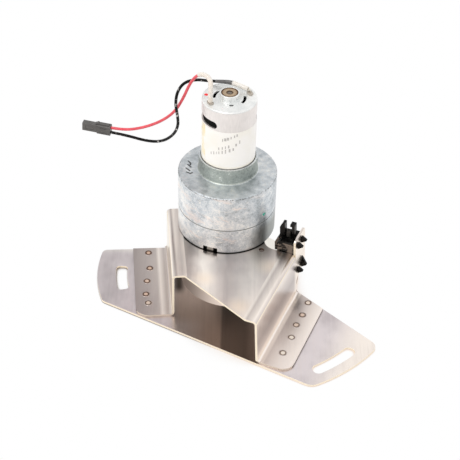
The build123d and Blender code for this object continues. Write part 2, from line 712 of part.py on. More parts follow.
def motor_label():
    bottom = collar_top + label_gap
    return tube(can_radius + label_thickness, can_radius, bottom, bottom + label_height, motor_x, motor_y)


def magnets():
    outer = can_radius - can_wall
    ring = Circle(outer) - Circle(outer - magnet_thickness)
    gap = 180 - magnet_sweep
    pieces = []
    for turn in (0, 180):
        start, end = turn + gap / 2, turn + 180 - gap / 2
        arc = ring & half_plane(start - 90, 0) & half_plane(end + 90, 0)
        pieces.append(Pos(motor_x, motor_y, magnet_bottom()) * extrude(arc, magnet_length))
    return pieces


def armature_outline():
    # poles shaped like a T round a hub
    pole_width = 0.36 * armature_radius
    hub = Circle(0.42 * armature_radius)
    shoe_ring = Circle(armature_radius) - Circle(0.84 * armature_radius)
    half_shoe = 0.4 * 360 / armature_poles
    outline = hub
    for pole in range(armature_poles):
        turn = 360 * pole / armature_poles
        shoe = shoe_ring & half_plane(turn - half_shoe - 90, 0) & half_plane(turn + half_shoe + 90, 0)
        neck = Pos(0.46 * armature_radius, 0) * Rectangle(0.84 * armature_radius, pole_width)
        outline += shoe + Rot(0, 0, turn) * neck
    return outline


def armature():
    outline = armature_outline() - Circle(shaft_radius)
    return Pos(motor_x, motor_y, stack_bottom()) * extrude(outline, armature_length)


def armature_winding():
    # one coil heaped round each pole, standing out past both ends of the stack
    petals = Circle(0.5 * armature_radius)
    for pole in range(armature_poles):
        petals += Pos(*polar(0.5 * armature_radius, 360 * (pole + 0.5) / armature_poles)) * Circle(
            0.34 * armature_radius)
    petals -= Circle(shaft_radius)
    height = armature_length + 2 * winding_overhang
    coils = Pos(0, 0, stack_bottom() - winding_overhang) * extrude(petals, height)
    coils -= Pos(0, 0, stack_bottom()) * extrude(armature_outline(), armature_length)
    return Pos(motor_x, motor_y, 0) * coils


def commutator():
    bottom = commutator_bottom()
    body = tube(commutator_radius, shaft_radius, bottom, bottom + commutator_length, motor_x, motor_y)
    for segment in range(armature_poles):
        cut = Rot(0, 0, 360 * segment / armature_poles) * Pos(commutator_radius, 0) * Rectangle(1.2, 0.4)
        body -= Pos(motor_x, motor_y, bottom + 1) * extrude(cut, commutator_length)
    return body


def motor_shaft():
    top = bell_top + bell_boss_height - running * 10
    return column(shaft_radius, motor_pinion_bottom, top, motor_x, motor_y)


def front_bearing():
    return tube(shaft_radius + bearing_wall, shaft_radius + running, ceiling + gear_gap,
                can_bottom + can_front, motor_x, motor_y)


def rear_bearing():
    return tube(rear_bearing_radius, shaft_radius + running, can_top, bell_top + bell_boss_height - gear_gap,
                motor_x, motor_y)


def brush_places():
    return [Pos(motor_x, motor_y, commutator_bottom() + commutator_length / 2 + 0.5) * Rot(0, 0, turn)
            for turn in (0, 180)]


def deck_bottom():
    return commutator_bottom() + commutator_length + 2 * gear_gap


def brush_holder():
    # a moulded cup under the end bell: skirt behind the vents, a deck and two guides for the brushes
    outer, deck = can_radius - can_wall, deck_bottom()
    holder = tube(outer, outer - holder_wall, can_top - holder_depth, can_top, motor_x, motor_y)
    holder += tube(outer, rear_bearing_radius + holder_wall, deck, deck + holder_deck, motor_x, motor_y)
    deck_drop = deck - commutator_bottom() - commutator_length / 2 - 0.5
    for place in brush_places():
        guide = Pos(commutator_radius + 2, 0, -brush_height) * Box(
            outer - commutator_radius - 2.5, brush_width + 2, brush_height + deck_drop,
            align=(Align.MIN, Align.CENTER, Align.MIN))
        channel = Pos(commutator_radius, 0, 0) * Box(outer, brush_width, brush_height,
                                                     align=(Align.MIN, Align.CENTER, Align.CENTER))
        holder += place * guide
        holder -= (place * channel) & column(outer - holder_wall, can_bottom, can_top, motor_x, motor_y)
    return holder


def brushes():
    reach = can_radius - can_wall - holder_wall - commutator_radius
    block = Pos(commutator_radius + running, 0, 0) * Box(0.7 * reach, brush_width, brush_height,
                                                         align=(Align.MIN, Align.CENTER, Align.CENTER))
    return [place * block for place in brush_places()]


def end_bell():
    # lies on the can's rim, with a turned boss for the rear bearing
    bell = column(can_radius, can_top, bell_top, motor_x, motor_y)
    bell = chamfer(bell.faces().sort_by(Axis.Z)[-1].edges(), 0.35 * bell_thickness)
    boss = column(bell_boss_radius, bell_top, bell_top + bell_boss_height, motor_x, motor_y)
    bell += fillet(boss.faces().sort_by(Axis.Z)[-1].edges(), 0.5)
    bell -= column(rear_bearing_radius, can_top, bell_top + bell_boss_height, motor_x, motor_y)
    cuts = Sketch()
    for angle in bell_vent_angles:
        cuts += ring_slot(bell_vent_radius, bell_vent_width, angle, bell_vent_sweep)
    cuts += Rot(0, 0, peep_angle) * Pos(peep_radius, 0) * Rot(0, 0, 90) * SlotOverall(
        peep_length, peep_width)
    for angle in terminal_angles:
        cuts += Rot(0, 0, angle) * Pos(terminal_radius, 0) * Rot(0, 0, 90) * insulator_hole()
    return bell - Pos(motor_x, motor_y, can_top) * extrude(cuts, bell_thickness)


def ring_slot(radius, width, middle, sweep):
    arc = CenterArc((0, 0), radius, middle - sweep / 2, sweep)
    return SlotArc(arc, width)


# Terminals stand in oval insulators. The positive tab is upright, the negative one is bent along its lead
def insulator_hole():
    return SlotOverall(insulator_length - 2 * insulator_lip, insulator_width - 2 * insulator_lip)


def insulator(angle):
    place = Pos(motor_x, motor_y, can_top) * Rot(0, 0, angle) * Pos(terminal_radius, 0) * Rot(0, 0, 90)
    body = extrude(insulator_hole(), bell_thickness)
    rim = SlotOverall(insulator_length, insulator_width)
    body += Pos(0, 0, bell_thickness) * extrude(rim, insulator_rise)
    tab = Box(terminal_width, terminal_thickness, 4 * (bell_thickness + insulator_rise))
    return place * (body - tab)


def terminal_foot(angle):
    return polar(terminal_radius, angle, motor_x, motor_y)


def terminal(angle, height):
    # from the brush holder's deck up through the insulator
    x, y = terminal_foot(angle)
    foot = deck_bottom() + holder_deck
    tab = Box(terminal_width, terminal_thickness, bell_top + height - foot,
              align=(Align.CENTER, Align.CENTER, Align.MIN))
    return Pos(x, y, foot) * Rot(0, 0, angle + 90) * tab


# Leads in short runs joined by arcs as large as the runs allow, inside sleeves at the terminals
def lead(points):
    path_points = [Vector(*point) for point in points]
    radii = []
    for before, corner, after in zip(path_points, path_points[1:], path_points[2:]):
        first, second = corner - before, after - corner
        turn = radians(first.get_angle(second))
        radii.append(0.45 * min(first.length, second.length) / tan(turn / 2))
    path = FilletPolyline(*path_points, radius=radii)
    section = Plane(origin=path_points[0], z_dir=path_points[1] - path_points[0]) * Circle(lead_diameter / 2)
    solid = sweep(section, path=path)
    straight_volume = pi * (lead_diameter / 2) ** 2 * path.length
    print("smallest radius", round(min(radii), 1), "length", round(path.length, 1),
          "volume over section times length", round(solid.volume / straight_volume, 3))
    return solid


def connector_frame():
    return Pos(*connector_place) * Rot(0, 0, connector_heading) * Rot(0, -connector_climb, 0)


def connector_end(side):
    # the last two points of a lead, square to the connector's rear face
    ends = [connector_frame() * Pos(-distance, 0, side * lead_pitch / 2) for distance in (lead_approach, 0)]
    return [tuple(end.position) for end in ends]


def red_start():
    x, y = terminal_foot(terminal_angles[0])
    return x, y, bell_top + terminal_height


def black_start():
    x, y = terminal_foot(terminal_angles[1])
    return x, y, bell_top + lug_rise


def black_direction():
    return (Vector(*black_route[0]) - Vector(*black_start())).normalized()


def black_exit():
    return Vector(*black_start()) + black_direction() * lug_length


def red_points():
    x, y, z = red_start()
    return [(x, y, z), (x, y, z + red_rise)] + red_route + connector_end(1)


def black_points():
    return [tuple(black_exit())] + black_route + connector_end(-1)


def sleeve(start, direction, before):
    ring = Circle(lead_diameter / 2 + sleeve_wall) - Circle(lead_diameter / 2)
    base = Vector(*start) - direction * before
    return extrude(Plane(origin=base, z_dir=direction) * ring, sleeve_length)


def red_sleeve():
    return sleeve(red_start(), Vector(0, 0, 1), terminal_height - insulator_rise - running)


def black_sleeve():
    return sleeve(black_exit(), black_direction(), lug_length / 2)


def positive_terminal():
    return terminal(terminal_angles[0], terminal_height)


def negative_terminal():
    start, direction = Vector(*black_start()), black_direction()
    leaf = Plane(origin=start, x_dir=direction, z_dir=Vector(0, 0, 1).cross(direction).cross(direction) * -1)
    blade = leaf * Box(lug_length, terminal_width, terminal_thickness,
                       align=(Align.MIN, Align.CENTER, Align.CENTER))
    return terminal(terminal_angles[1], lug_rise) + blade


def connector_housing():
    rear_length = connector_length - connector_nose
    along = (Align.MIN, Align.CENTER, Align.CENTER)
    rear = Box(rear_length, connector_depth, connector_height, align=along)
    rear = chamfer(rear.edges().filter_by(Axis.X), 0.5)
    nose = Pos(rear_length, 0, 0) * Box(connector_nose, connector_depth - 2 * connector_step,
                                        connector_height - 2 * connector_step, align=along)
    nose = fillet(nose.edges().filter_by(Axis.X), 0.4)
    body = rear + nose
    # a latch tongue with its catch along the upper side, and a shallow window in each flank
    tongue_top = connector_height / 2 + connector_step
    body += Pos(1.2, 0, connector_height / 2) * Box(rear_length, connector_depth / 2, connector_step,
                                                    align=(Align.MIN, Align.CENTER, Align.MIN))
    body += Pos(rear_length - 1, 0, tongue_top) * Box(1.2, connector_depth / 2, connector_step,
                                                      align=(Align.MIN, Align.CENTER, Align.MIN))
    flank = connector_depth / 2 - connector_step
    for side in (-1, 1):
        window = Box(0.6 * connector_nose, connector_step, 0.4 * connector_height)
        body -= Pos(rear_length + connector_nose / 2, side * flank, 0) * window
        groove = Box(0.5 * rear_length, connector_step, 0.16 * connector_height)
        for up in (-1, 1):
            body -= Pos(rear_length / 2, side * connector_depth / 2, up * lead_pitch / 2) * groove
        cavity = Box(contact_length, 2 * contact_side, 2 * contact_side,
                     align=(Align.MAX, Align.CENTER, Align.CENTER))
        body -= Pos(connector_length, 0, side * lead_pitch / 2) * cavity
    return connector_frame() * body


def connector_contacts():
    pin = Box(0.8 * contact_length, contact_side, contact_side,
              align=(Align.MIN, Align.CENTER, Align.CENTER))
    start = connector_length - contact_length
    return [connector_frame() * Pos(start, 0, side * lead_pitch / 2) * pin for side in (-1, 1)]


# Fork sensor on the inner face of the ear, held by four barbed hooks
def hook(spike):
    grip = hat_sheet + 2 * sensor_gap
    stem = Pos(-sensor_gap, 0, 0) * Box(grip + 2 * sensor_gap, hook_width, hook_stem,
                                        align=(Align.MIN, Align.CENTER, Align.CENTER))
    half = hook_hole_height / 2 + hook_catch
    head = Polygon((grip, -half), (grip + hook_reach, -hook_tip / 2), (grip + hook_reach, hook_tip / 2),
                   (grip + hook_land, half + spike), (grip, half + spike), align=None)
    return stem + extrude(Plane.XZ * head, hook_width / 2, both=True)


def sensor_housing():
    outer = -sensor_gap
    out_centre_low = (Align.MAX, Align.CENTER, Align.MIN)
    block = Pos(outer, sensor_shift, -sensor_below) * Box(
        sensor_depth, sensor_width, sensor_below + sensor_above, align=out_centre_low)
    inner_top = block.edges().filter_by(Axis.Y).sort_by(lambda e: e.center().Z - e.center().X)[-1:]
    block = chamfer(inner_top, sensor_chamfer)
    block = fillet(block.edges().filter_by(Axis.Z), sensor_corner)
    wing = Polygon((0, 0), (-wing_reach, 0), (-wing_reach, 0.6 * wing_height),
                   (-0.3 * wing_reach, wing_height), (0, wing_height), align=None)
    wing = extrude(Plane.XZ * wing, wing_length / 2, both=True)
    body = block + fork() + Pos(outer - sensor_depth, 0, wing_bottom) * wing
    # moulding slots across the front face and one in the wing
    front = sensor_shift - sensor_width / 2
    for level, inset in sensor_slots:
        body -= Pos(outer - sensor_depth + inset, front, level) * Box(
            slot_length, 2 * slot_depth, slot_height, align=(Align.MIN, Align.CENTER, Align.CENTER))
    body -= Pos(outer - sensor_depth - wing_reach / 2, -wing_length / 2, sensor_slots[1][0]) * Box(
        0.7 * wing_reach, 2 * slot_depth, slot_height)
    for number, place in enumerate(hook_places()):
        body += place * hook(hook_spike if number == 2 else 0)
    return ear_frame() * body


def fork_outer():
    return -sensor_gap - fork_inset


def fork_gap():
    return fork_width - inner_prong - outer_prong


def fork_middle():
    return fork_outer() - outer_prong - fork_gap() / 2


def fork():
    outer, floor = fork_outer(), sensor_above + fork_rise
    top = floor + fork_height
    out_centre_low = (Align.MAX, Align.CENTER, Align.MIN)
    body = Pos(outer, sensor_shift, sensor_above - fork_root) * Box(
        fork_width, fork_length, fork_root + fork_rise + fork_height, align=out_centre_low)
    body -= Pos(outer - outer_prong, sensor_shift, floor) * Box(
        fork_gap(), 2 * fork_length, fork_height, align=out_centre_low)
    # the outer prong ends in a cap, the inner one in a narrow finger
    body += Pos(outer, sensor_shift, top - cap_height) * Box(
        outer_prong + cap_lip, fork_length, cap_height, align=out_centre_low)
    step = Pos(outer - fork_width + inner_prong - finger_width, sensor_shift, top - finger_height)
    body -= step * Box(inner_prong, 2 * fork_length, finger_height, align=out_centre_low)
    # a pocket in the front for the insert
    front = sensor_shift - fork_length / 2
    body -= Pos(fork_middle(), front, sensor_above + pocket_bottom) * Box(
        fork_gap(), 2 * fork_pocket, fork_rise - pocket_bottom, align=(Align.CENTER, Align.CENTER, Align.MIN))
    return body


def sensor_insert():
    back = sensor_shift - fork_length / 2 + fork_pocket
    bottom = sensor_above + pocket_bottom
    against = (Align.CENTER, Align.MAX, Align.MIN)
    height = fork_rise - pocket_bottom + insert_rise
    core = Pos(fork_middle(), back, bottom) * Box(insert_width, fork_pocket, height, align=against)
    for side in (-1, 1):
        across = fork_middle() + side * (insert_width - insert_fin) / 2
        core += Pos(across, back, bottom + height) * Box(
            insert_fin, insert_fin, 2 * insert_fin, align=against)
    return ear_frame() * core


save("base_plate", base_plate())
save("motor_bracket", motor_bracket())
save("adapter_plate", adapter_plate())
save("lower_housing", lower_housing())
save("upper_housing", upper_housing())
save("gear_plate", gear_plate())
save("housing_screws", *housing_screws())
save("bracket_screws", *bracket_screws())
save("motor_screws", *motor_screws())
save("motor_pinion", motor_pinion())
save("first_gear", first_gear())
save("second_gear", second_gear())
save("output_wheel", output_wheel())
save("output_shaft", output_shaft())
save("retaining_ring", retaining_ring())
save("output_bush", output_bush())
save("output_top_bush", output_top_bush())
save("first_gear_pin", gear_pin(first_x, first_y, gear_plate_bottom))
save("second_gear_pin", gear_pin(second_x, second_y, floor_bottom + gear_gap))
save("motor_can", motor_can())
save("motor_label", motor_label())
save("magnets", *magnets())
save("armature", armature())
save("armature_winding", armature_winding())
save("commutator", commutator())
save("motor_shaft", motor_shaft())
save("front_bearing", front_bearing())
save("rear_bearing", rear_bearing())
save("brush_holder", brush_holder())
save("brushes", *brushes())
save("end_bell", end_bell())
save("positive_insulator", insulator(terminal_angles[0]))
save("negative_insulator", insulator(terminal_angles[1]))
save("positive_terminal", positive_terminal())
save("negative_terminal", negative_terminal())
save("red_sleeve", red_sleeve())
save("black_sleeve", black_sleeve())
save("red_lead", lead(red_points()))
save("black_lead", lead(black_points()))
save("connector_housing", connector_housing())
save("connector_contacts", *connector_contacts())
save("sensor_housing", sensor_housing())
save("sensor_insert", sensor_insert())
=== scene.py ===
# Gearmotor bracket: folded steel channel on a fan-shaped base, round spur gearmotor, fork sensor, two leads
import bmesh
import bpy
from math import cos, pi, radians, sin
from types import SimpleNamespace
from mathutils import Matrix, Vector, noise


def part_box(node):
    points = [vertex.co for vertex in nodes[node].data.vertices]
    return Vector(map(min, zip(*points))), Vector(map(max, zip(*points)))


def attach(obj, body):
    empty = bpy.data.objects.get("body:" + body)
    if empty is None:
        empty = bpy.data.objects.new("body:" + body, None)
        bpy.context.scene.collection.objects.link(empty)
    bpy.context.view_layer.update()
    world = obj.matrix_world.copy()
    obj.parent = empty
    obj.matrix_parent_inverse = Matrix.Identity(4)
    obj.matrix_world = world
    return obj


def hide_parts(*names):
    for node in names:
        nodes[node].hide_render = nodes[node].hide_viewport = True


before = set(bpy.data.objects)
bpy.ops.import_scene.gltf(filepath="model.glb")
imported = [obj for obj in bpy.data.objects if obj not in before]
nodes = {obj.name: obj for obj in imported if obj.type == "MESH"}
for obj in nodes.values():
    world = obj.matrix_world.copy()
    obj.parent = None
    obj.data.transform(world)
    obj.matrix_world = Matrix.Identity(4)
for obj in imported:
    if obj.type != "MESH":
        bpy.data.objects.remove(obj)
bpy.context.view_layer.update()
mm = 0.001
print("frame loaded,", len(nodes), "nodes")

# Places that the frame gives, in metres: the gearbox and motor axes and the main levels
boxLow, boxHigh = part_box("upper_housing")
canLow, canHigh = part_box("motor_can")
labelLow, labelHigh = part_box("motor_label")
sensorLow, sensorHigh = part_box("sensor_housing")
gearboxAxis = Vector(((boxLow.x + boxHigh.x) / 2, (boxLow.y + boxHigh.y) / 2, 0))
gearboxRadius = (boxHigh.x - boxLow.x) / 2
motorAxis = Vector(((canLow.x + canHigh.x) / 2, (canLow.y + canHigh.y) / 2, 0))
labelRadius = (labelHigh.x - labelLow.x) / 2
seamLevel = boxLow.z
heights = {"twoSheets": 3.0, "channel": 37.0, "bellBoss": 4.0, "collar": 11.1}
flangeTop = heights["twoSheets"] * mm
plateTop = heights["channel"] * mm
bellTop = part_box("end_bell")[1].z - heights["bellBoss"] * mm
collarFoot = boxHigh.z - heights["collar"] * mm


# Camera
cameraSetup = {
    "place": (316.1, -598.5, 599.9), "target": (-7.24, 8.61, 30.01), "roll": 1.54,
    "lens": 101.16, "sensor": 36.0, "clip": (0.05, 20)}


def addObject(name, data):
    item = bpy.data.objects.new(name, data)
    bpy.context.scene.collection.objects.link(item)
    return item


def makeCamera(setup):
    data = bpy.data.cameras.new("camera")
    data.lens = setup["lens"]
    data.sensor_width = setup["sensor"]
    data.clip_start, data.clip_end = setup["clip"]
    cameraObject = addObject("camera", data)
    place, target = Vector(setup["place"]) * mm, Vector(setup["target"]) * mm
    turn = (target - place).to_track_quat("-Z", "Y").to_matrix().to_4x4()
    roll = Matrix.Rotation(radians(setup["roll"]), 4, "Z")
    cameraObject.matrix_world = Matrix.Translation(place) @ turn @ roll
    bpy.context.scene.camera = cameraObject


makeCamera(cameraSetup)
bpy.context.scene.view_settings.view_transform = "Standard"
print("camera set")


# Node helpers: a socket, a number or a colour goes into each named input
def isSocket(value):
    return isinstance(value, bpy.types.NodeSocket)


def treeOf(values):
    return next(value.id_data for value in values if isSocket(value))


def fillNode(node, inputs):
    for key, value in inputs.items():
        socket = node.inputs[key]
        if isSocket(value):
            value.id_data.links.new(value, socket)
        else:
            socket.default_value = (*value, 1) if socket.type == "RGBA" else value


def addNode(tree, kind, inputs=None, **settings):
    node = tree.nodes.new(kind)
    for key, value in settings.items():
        setattr(node, key, value)
    fillNode(node, inputs or {})
    return node


def maths(operation, *values, clamp=False):
    inputs = dict(enumerate(values))
    return addNode(treeOf(values), "ShaderNodeMath", inputs, operation=operation, use_clamp=clamp).outputs[0]


def plus(first, *others):
    for other in others:
        first = maths("ADD", first, other)
    return first


def times(first, *others):
    for other in others:
        first = maths("MULTIPLY", first, other)
    return first


def minus(first, second):
    return maths("SUBTRACT", first, second)


def above(value, limit):
    return maths("GREATER_THAN", value, limit)


def below(value, limit):
    return maths("LESS_THAN", value, limit)


def unsigned(value):
    return maths("ABSOLUTE", value)


def between(value, low, high, start=0.0, end=1.0):
    # from low to high as the value goes from start to end
    inputs = {"Value": value, "From Min": start, "From Max": end, "To Min": low, "To Max": high}
    return addNode(treeOf([value]), "ShaderNodeMapRange", inputs).outputs["Result"]


def fade(value, start, end):
    # 0 at the start, 1 at the end, smooth between them; start and end may be either way round
    inputs = {"Value": value, "From Min": start, "From Max": end}
    node = addNode(treeOf([value]), "ShaderNodeMapRange", inputs, interpolation_type="SMOOTHSTEP")
    return node.outputs["Result"]


def fadeMm(value, start, end):
    return fade(value, start * mm, end * mm)


def mixed(factor, first, second, blend="MIX"):
    return addNode(treeOf([factor, first, second]), "ShaderNodeMix", {0: factor, 6: first, 7: second},
                   data_type="RGBA", blend_type=blend).outputs[2]


def ramp(factor, stops):
    node = addNode(treeOf([factor]), "ShaderNodeValToRGB", {"Fac": factor})
    elements = node.color_ramp.elements
    while len(elements) < len(stops):
        elements.new(0.5)
    for element, (place, colour) in zip(elements, stops):
        element.position = place
        element.color = (*colour, 1)
    return node.outputs["Color"]


def tint(red, green, blue, gain=1.0):
    # a colour written as it is seen, 0 to 255, in the shader's own scale. The gain keeps the hue
    shares = [value / 255 for value in (red, green, blue)]
    colour = [gain * (share / 12.92 if share <= 0.04045 else ((share + 0.055) / 1.055) ** 2.4)
              for share in shares]
    keep = min(1.0, 0.98 / max(colour))
    return tuple(value * keep for value in colour)


def tintRamp(factor, stops, gain=1.0):
    return ramp(factor, [(place, tint(*colour, gain)) for place, colour in stops])


def tinged(colour, tone, share):
    # a colour turned towards a tone by a share
    return mixed(share, colour, tint(*tone))


def blended(grains, shares):
    return plus(*(times(grain, share) for grain, share in zip(grains, shares)))


def split(vector):
    return tuple(addNode(treeOf([vector]), "ShaderNodeSeparateXYZ", {"Vector": vector}).outputs)


def along(parts, degreesTurn):
    # how far a point lies in a level direction
    return plus(times(parts[0], cos(radians(degreesTurn))), times(parts[1], sin(radians(degreesTurn))))


def awayFrom(parts, x, y):
    # the level distance from an upright axis
    aside, behind = minus(parts[0], x), minus(parts[1], y)
    return maths("SQRT", plus(times(aside, aside), times(behind, behind)))


def grainNoise(place, scale, detail=4.0, roughness=0.6, stretch=(1, 1, 1)):
    tree = treeOf([place])
    stretched = addNode(tree, "ShaderNodeMapping", {"Vector": place, "Scale": stretch}).outputs["Vector"]
    return addNode(tree, "ShaderNodeTexNoise", {
        "Vector": stretched, "Scale": scale, "Detail": detail, "Roughness": roughness}).outputs["Fac"]


def startMaterial(name):
    material = bpy.data.materials.new(name)
    material.use_nodes = True
    tree = material.node_tree
    place = addNode(tree, "ShaderNodeTexCoord").outputs["Object"]
    return material, tree.nodes["Principled BSDF"], place


def facingOf(place):
    # the parts of the surface's own direction
    return split(place.node.outputs["Normal"])


def grainsOf(place, grains):
    # each grain is its marks per metre, detail, roughness and, where it isn't even, stretch
    return [grainNoise(place, *grain) for grain in grains]


def makeFinish(name, look, *values, **unusual):
    # look, a finish's function, gives the shader's inputs and the relief's height, strength and distance
    material, shader, place = startMaterial(name)
    inputs, (height, strength, distance) = look(place, *values, **unusual)
    relief = {"Height": height, "Strength": strength, "Distance": distance}
    bump = addNode(material.node_tree, "ShaderNodeBump", relief)
    fillNode(shader, {**inputs, "Normal": bump.outputs["Normal"]})
    return material


# A finish with cloudy colour, fine grain, uneven gloss and a little relief. Scales are in marks per metre
def plainFinish(place, dark, light, metallic, rough, cloud=90.0, grain=900.0, stretch=(1, 1, 1),
                relief=0.15, coat=0.0, specular=0.5):
    clouds = grainNoise(place, cloud, 3.0, 0.55)
    fine = grainNoise(place, grain, 3.0, 0.7, stretch)
    tone = blended((clouds, fine), (0.6, 0.4))
    return {"Base Color": ramp(tone, [(0.36, dark), (0.64, light)]),
            "Roughness": between(fine, *rough), "Metallic": metallic, "Coat Weight": coat,
            "Specular IOR Level": specular}, (fine, relief, 0.0002)


# Rolled stainless sheet: half-mirror with a rolling grain, painted reflections as soft bands across it, and
# cut edges painted pale as a painted highlight. Each list says how pale the painted reflection makes the
# steel, 0 to 1, at a
# distance in millimetres: the plate's and the channel's across the grain, the bends' and flanges' out from
# the gearbox, the wall's up from the floor. A pair of distances is where a tone starts and where it is full,
# and a colour's fourth number is its gain
sheet = {
    "grainTurn": 28.0, "leftNormal": 214.0, "rightNormal": 6.7, "rough": (0.26, 0.31), "sway": 20.0,
    "grains": [(48.0, 3.0, 0.55, (1.0, 0.6, 1.0)), (420.0, 4.0, 0.65, (1.0, 0.035, 0.3)),
               (2500.0, 3.0, 0.7, (1.0, 0.12, 1.0))], "relief": (0.05, 0.0001),
    "shade": [(0.36, (0.91, 0.905, 0.905)), (0.52, (1.0, 1.0, 1.0)), (0.66, (1.0, 0.99, 0.975))],
    "outside": ((150, 140, 138), (254, 244, 235)), "inside": ((77, 70, 66), (138, 126, 119)),
    "plate": [(-34, 0.57), (-30, 0.20), (-19, 0.97), (-6, 0.34), (-2, 0.24), (13, 0.84), (21, 0.36),
              (31, 0.74)],
    "channel": [(-45, 0.85), (-26, 1.0), (-7.2, 0.78), (-5.6, 0.15), (10, 0.0), (24, 0.75)],
    "leftBend": [(34.2, 0.88), (37, 0.60), (40, 0.92), (41.5, 0.18), (43, 1.0), (45, 1.0)],
    "rightBend": [(37.5, 0.85), (38.4, 1.0), (40, 0.50), (44.5, 1.0), (46.5, 0.55), (49, 1.0)],
    "leftFlange": [(45, 0.52), (47, 0.39), (50.5, 0.84), (52.5, 0.40), (58, 0.31), (70, 0.12)],
    "rightFlange": [(48.5, 0.64), (50, 0.92), (52, 0.90), (53.2, 0.34), (58, 0.36), (70, 0.80)],
    "rightWall": [(2, 0.92), (5, 0.80), (9, 0.40), (18, 0.24), (28, 0.50), (36, 0.90)],
    "gains": {"plate": 1.45, "channel": 3.1, "leftFlange": 1.2, "rightFlange": 1.27}}
# Cut edges: a painted highlight, softer on the flanges' edges, and painted shade on the pilot hole's wall
edges = {
    "tone": (255, 243, 222), "flange": (226, 212, 196), "pilot": (25.1, -6.6, 2.2),
    "pilotShade": (88, 66, 54), "square": 0.94, "dull": 0.6, "rough": 0.3}


def levels(distance, name, tones="outside", gain=1.15):
    # a colour between two tones for a distance in millimetres
    stops = sheet[name]
    low, high = stops[0][0], stops[-1][0]
    steps = []
    for place, pale in stops:
        colour = [dark + (light - dark) * pale for dark, light in zip(*sheet[tones])]
        steps.append(((place - low) / (high - low), colour))
    return tintRamp(between(distance, 0.0, 1.0, low * mm, high * mm), steps, sheet["gains"].get(name, gain))


def sheetSteel(place, colourOf, walls):
    # walls: the level directions that the walls face, so that their faces aren't taken for cut edges
    parts, facing = split(place), facingOf(place)
    across, back = along(parts, sheet["grainTurn"]), along(parts, sheet["grainTurn"] + 90)
    turned = addNode(treeOf(parts), "ShaderNodeCombineXYZ",
                     {"X": across, "Y": back, "Z": parts[2]}).outputs["Vector"]
    clouds, rolled, fine = grainsOf(turned, sheet["grains"])
    colour = colourOf(SimpleNamespace(
        parts=parts, height=parts[2], facing=facing, across=across, back=back, clouds=clouds,
        left=along(parts, sheet["leftNormal"]), right=along(parts, sheet["rightNormal"])))
    shade = ramp(blended((clouds, rolled), (0.5, 0.5)), sheet["shade"])
    # cut edges painted pale as a painted highlight, the flanges' edges softer, the pilot hole's wall painted
    # dark as painted shade
    edge = below(unsigned(facing[2]), 0.5)
    edgeColour = tint(*edges["tone"])
    for normal in walls:
        edge = times(edge, below(unsigned(along(facing, normal)), edges["square"]))
    if walls:
        edgeColour = tinged(edgeColour, edges["flange"], below(parts[2], flangeTop + 0.2 * mm))
        x, y, radius = (value * mm for value in edges["pilot"])
        edgeColour = tinged(edgeColour, edges["pilotShade"], below(awayFrom(parts, x, y), radius))
    return {"Base Color": mixed(edge, mixed(1.0, colour, shade, "MULTIPLY"), edgeColour),
            "Roughness": plus(between(fine, *sheet["rough"]), times(edge, edges["rough"])),
            "Metallic": minus(1.0, times(edge, edges["dull"]))}, (rolled, *sheet["relief"])


# The channel sheet: its top plate, walls and flanges, in painted reflections, highlights and shade. A glint
# is a painted highlight, a place and a radius
pressed = {
    "rear": (132, 124, 118), "rearFrom": (-34, -15), "rearShare": 0.55,
    "glint": (255, 238, 221, 1.2), "glintShare": 0.8,
    "glints": [(5.8, -51.6, 11.0), (38.5, -63.0, 11.0), (37.5, -19.0, 12.0)],
    "contact": (52, 46, 43), "contactFrom": (1.5, 0.3), "bendDown": 6, "plateDown": (-7, -3),
    "front": (242, 230, 222, 1.15), "frontFrom": (-45, -85), "frontShare": 0.55,
    "leftWall": (255, 247, 234), "ear": (255, 243, 230, 1.1), "earFrom": (-26, -20),
    "wallsOut": 25, "rimOut": 55, "rim": (104, 90, 82), "inner": (80, 71, 64),
    "under": (186, 178, 172)}


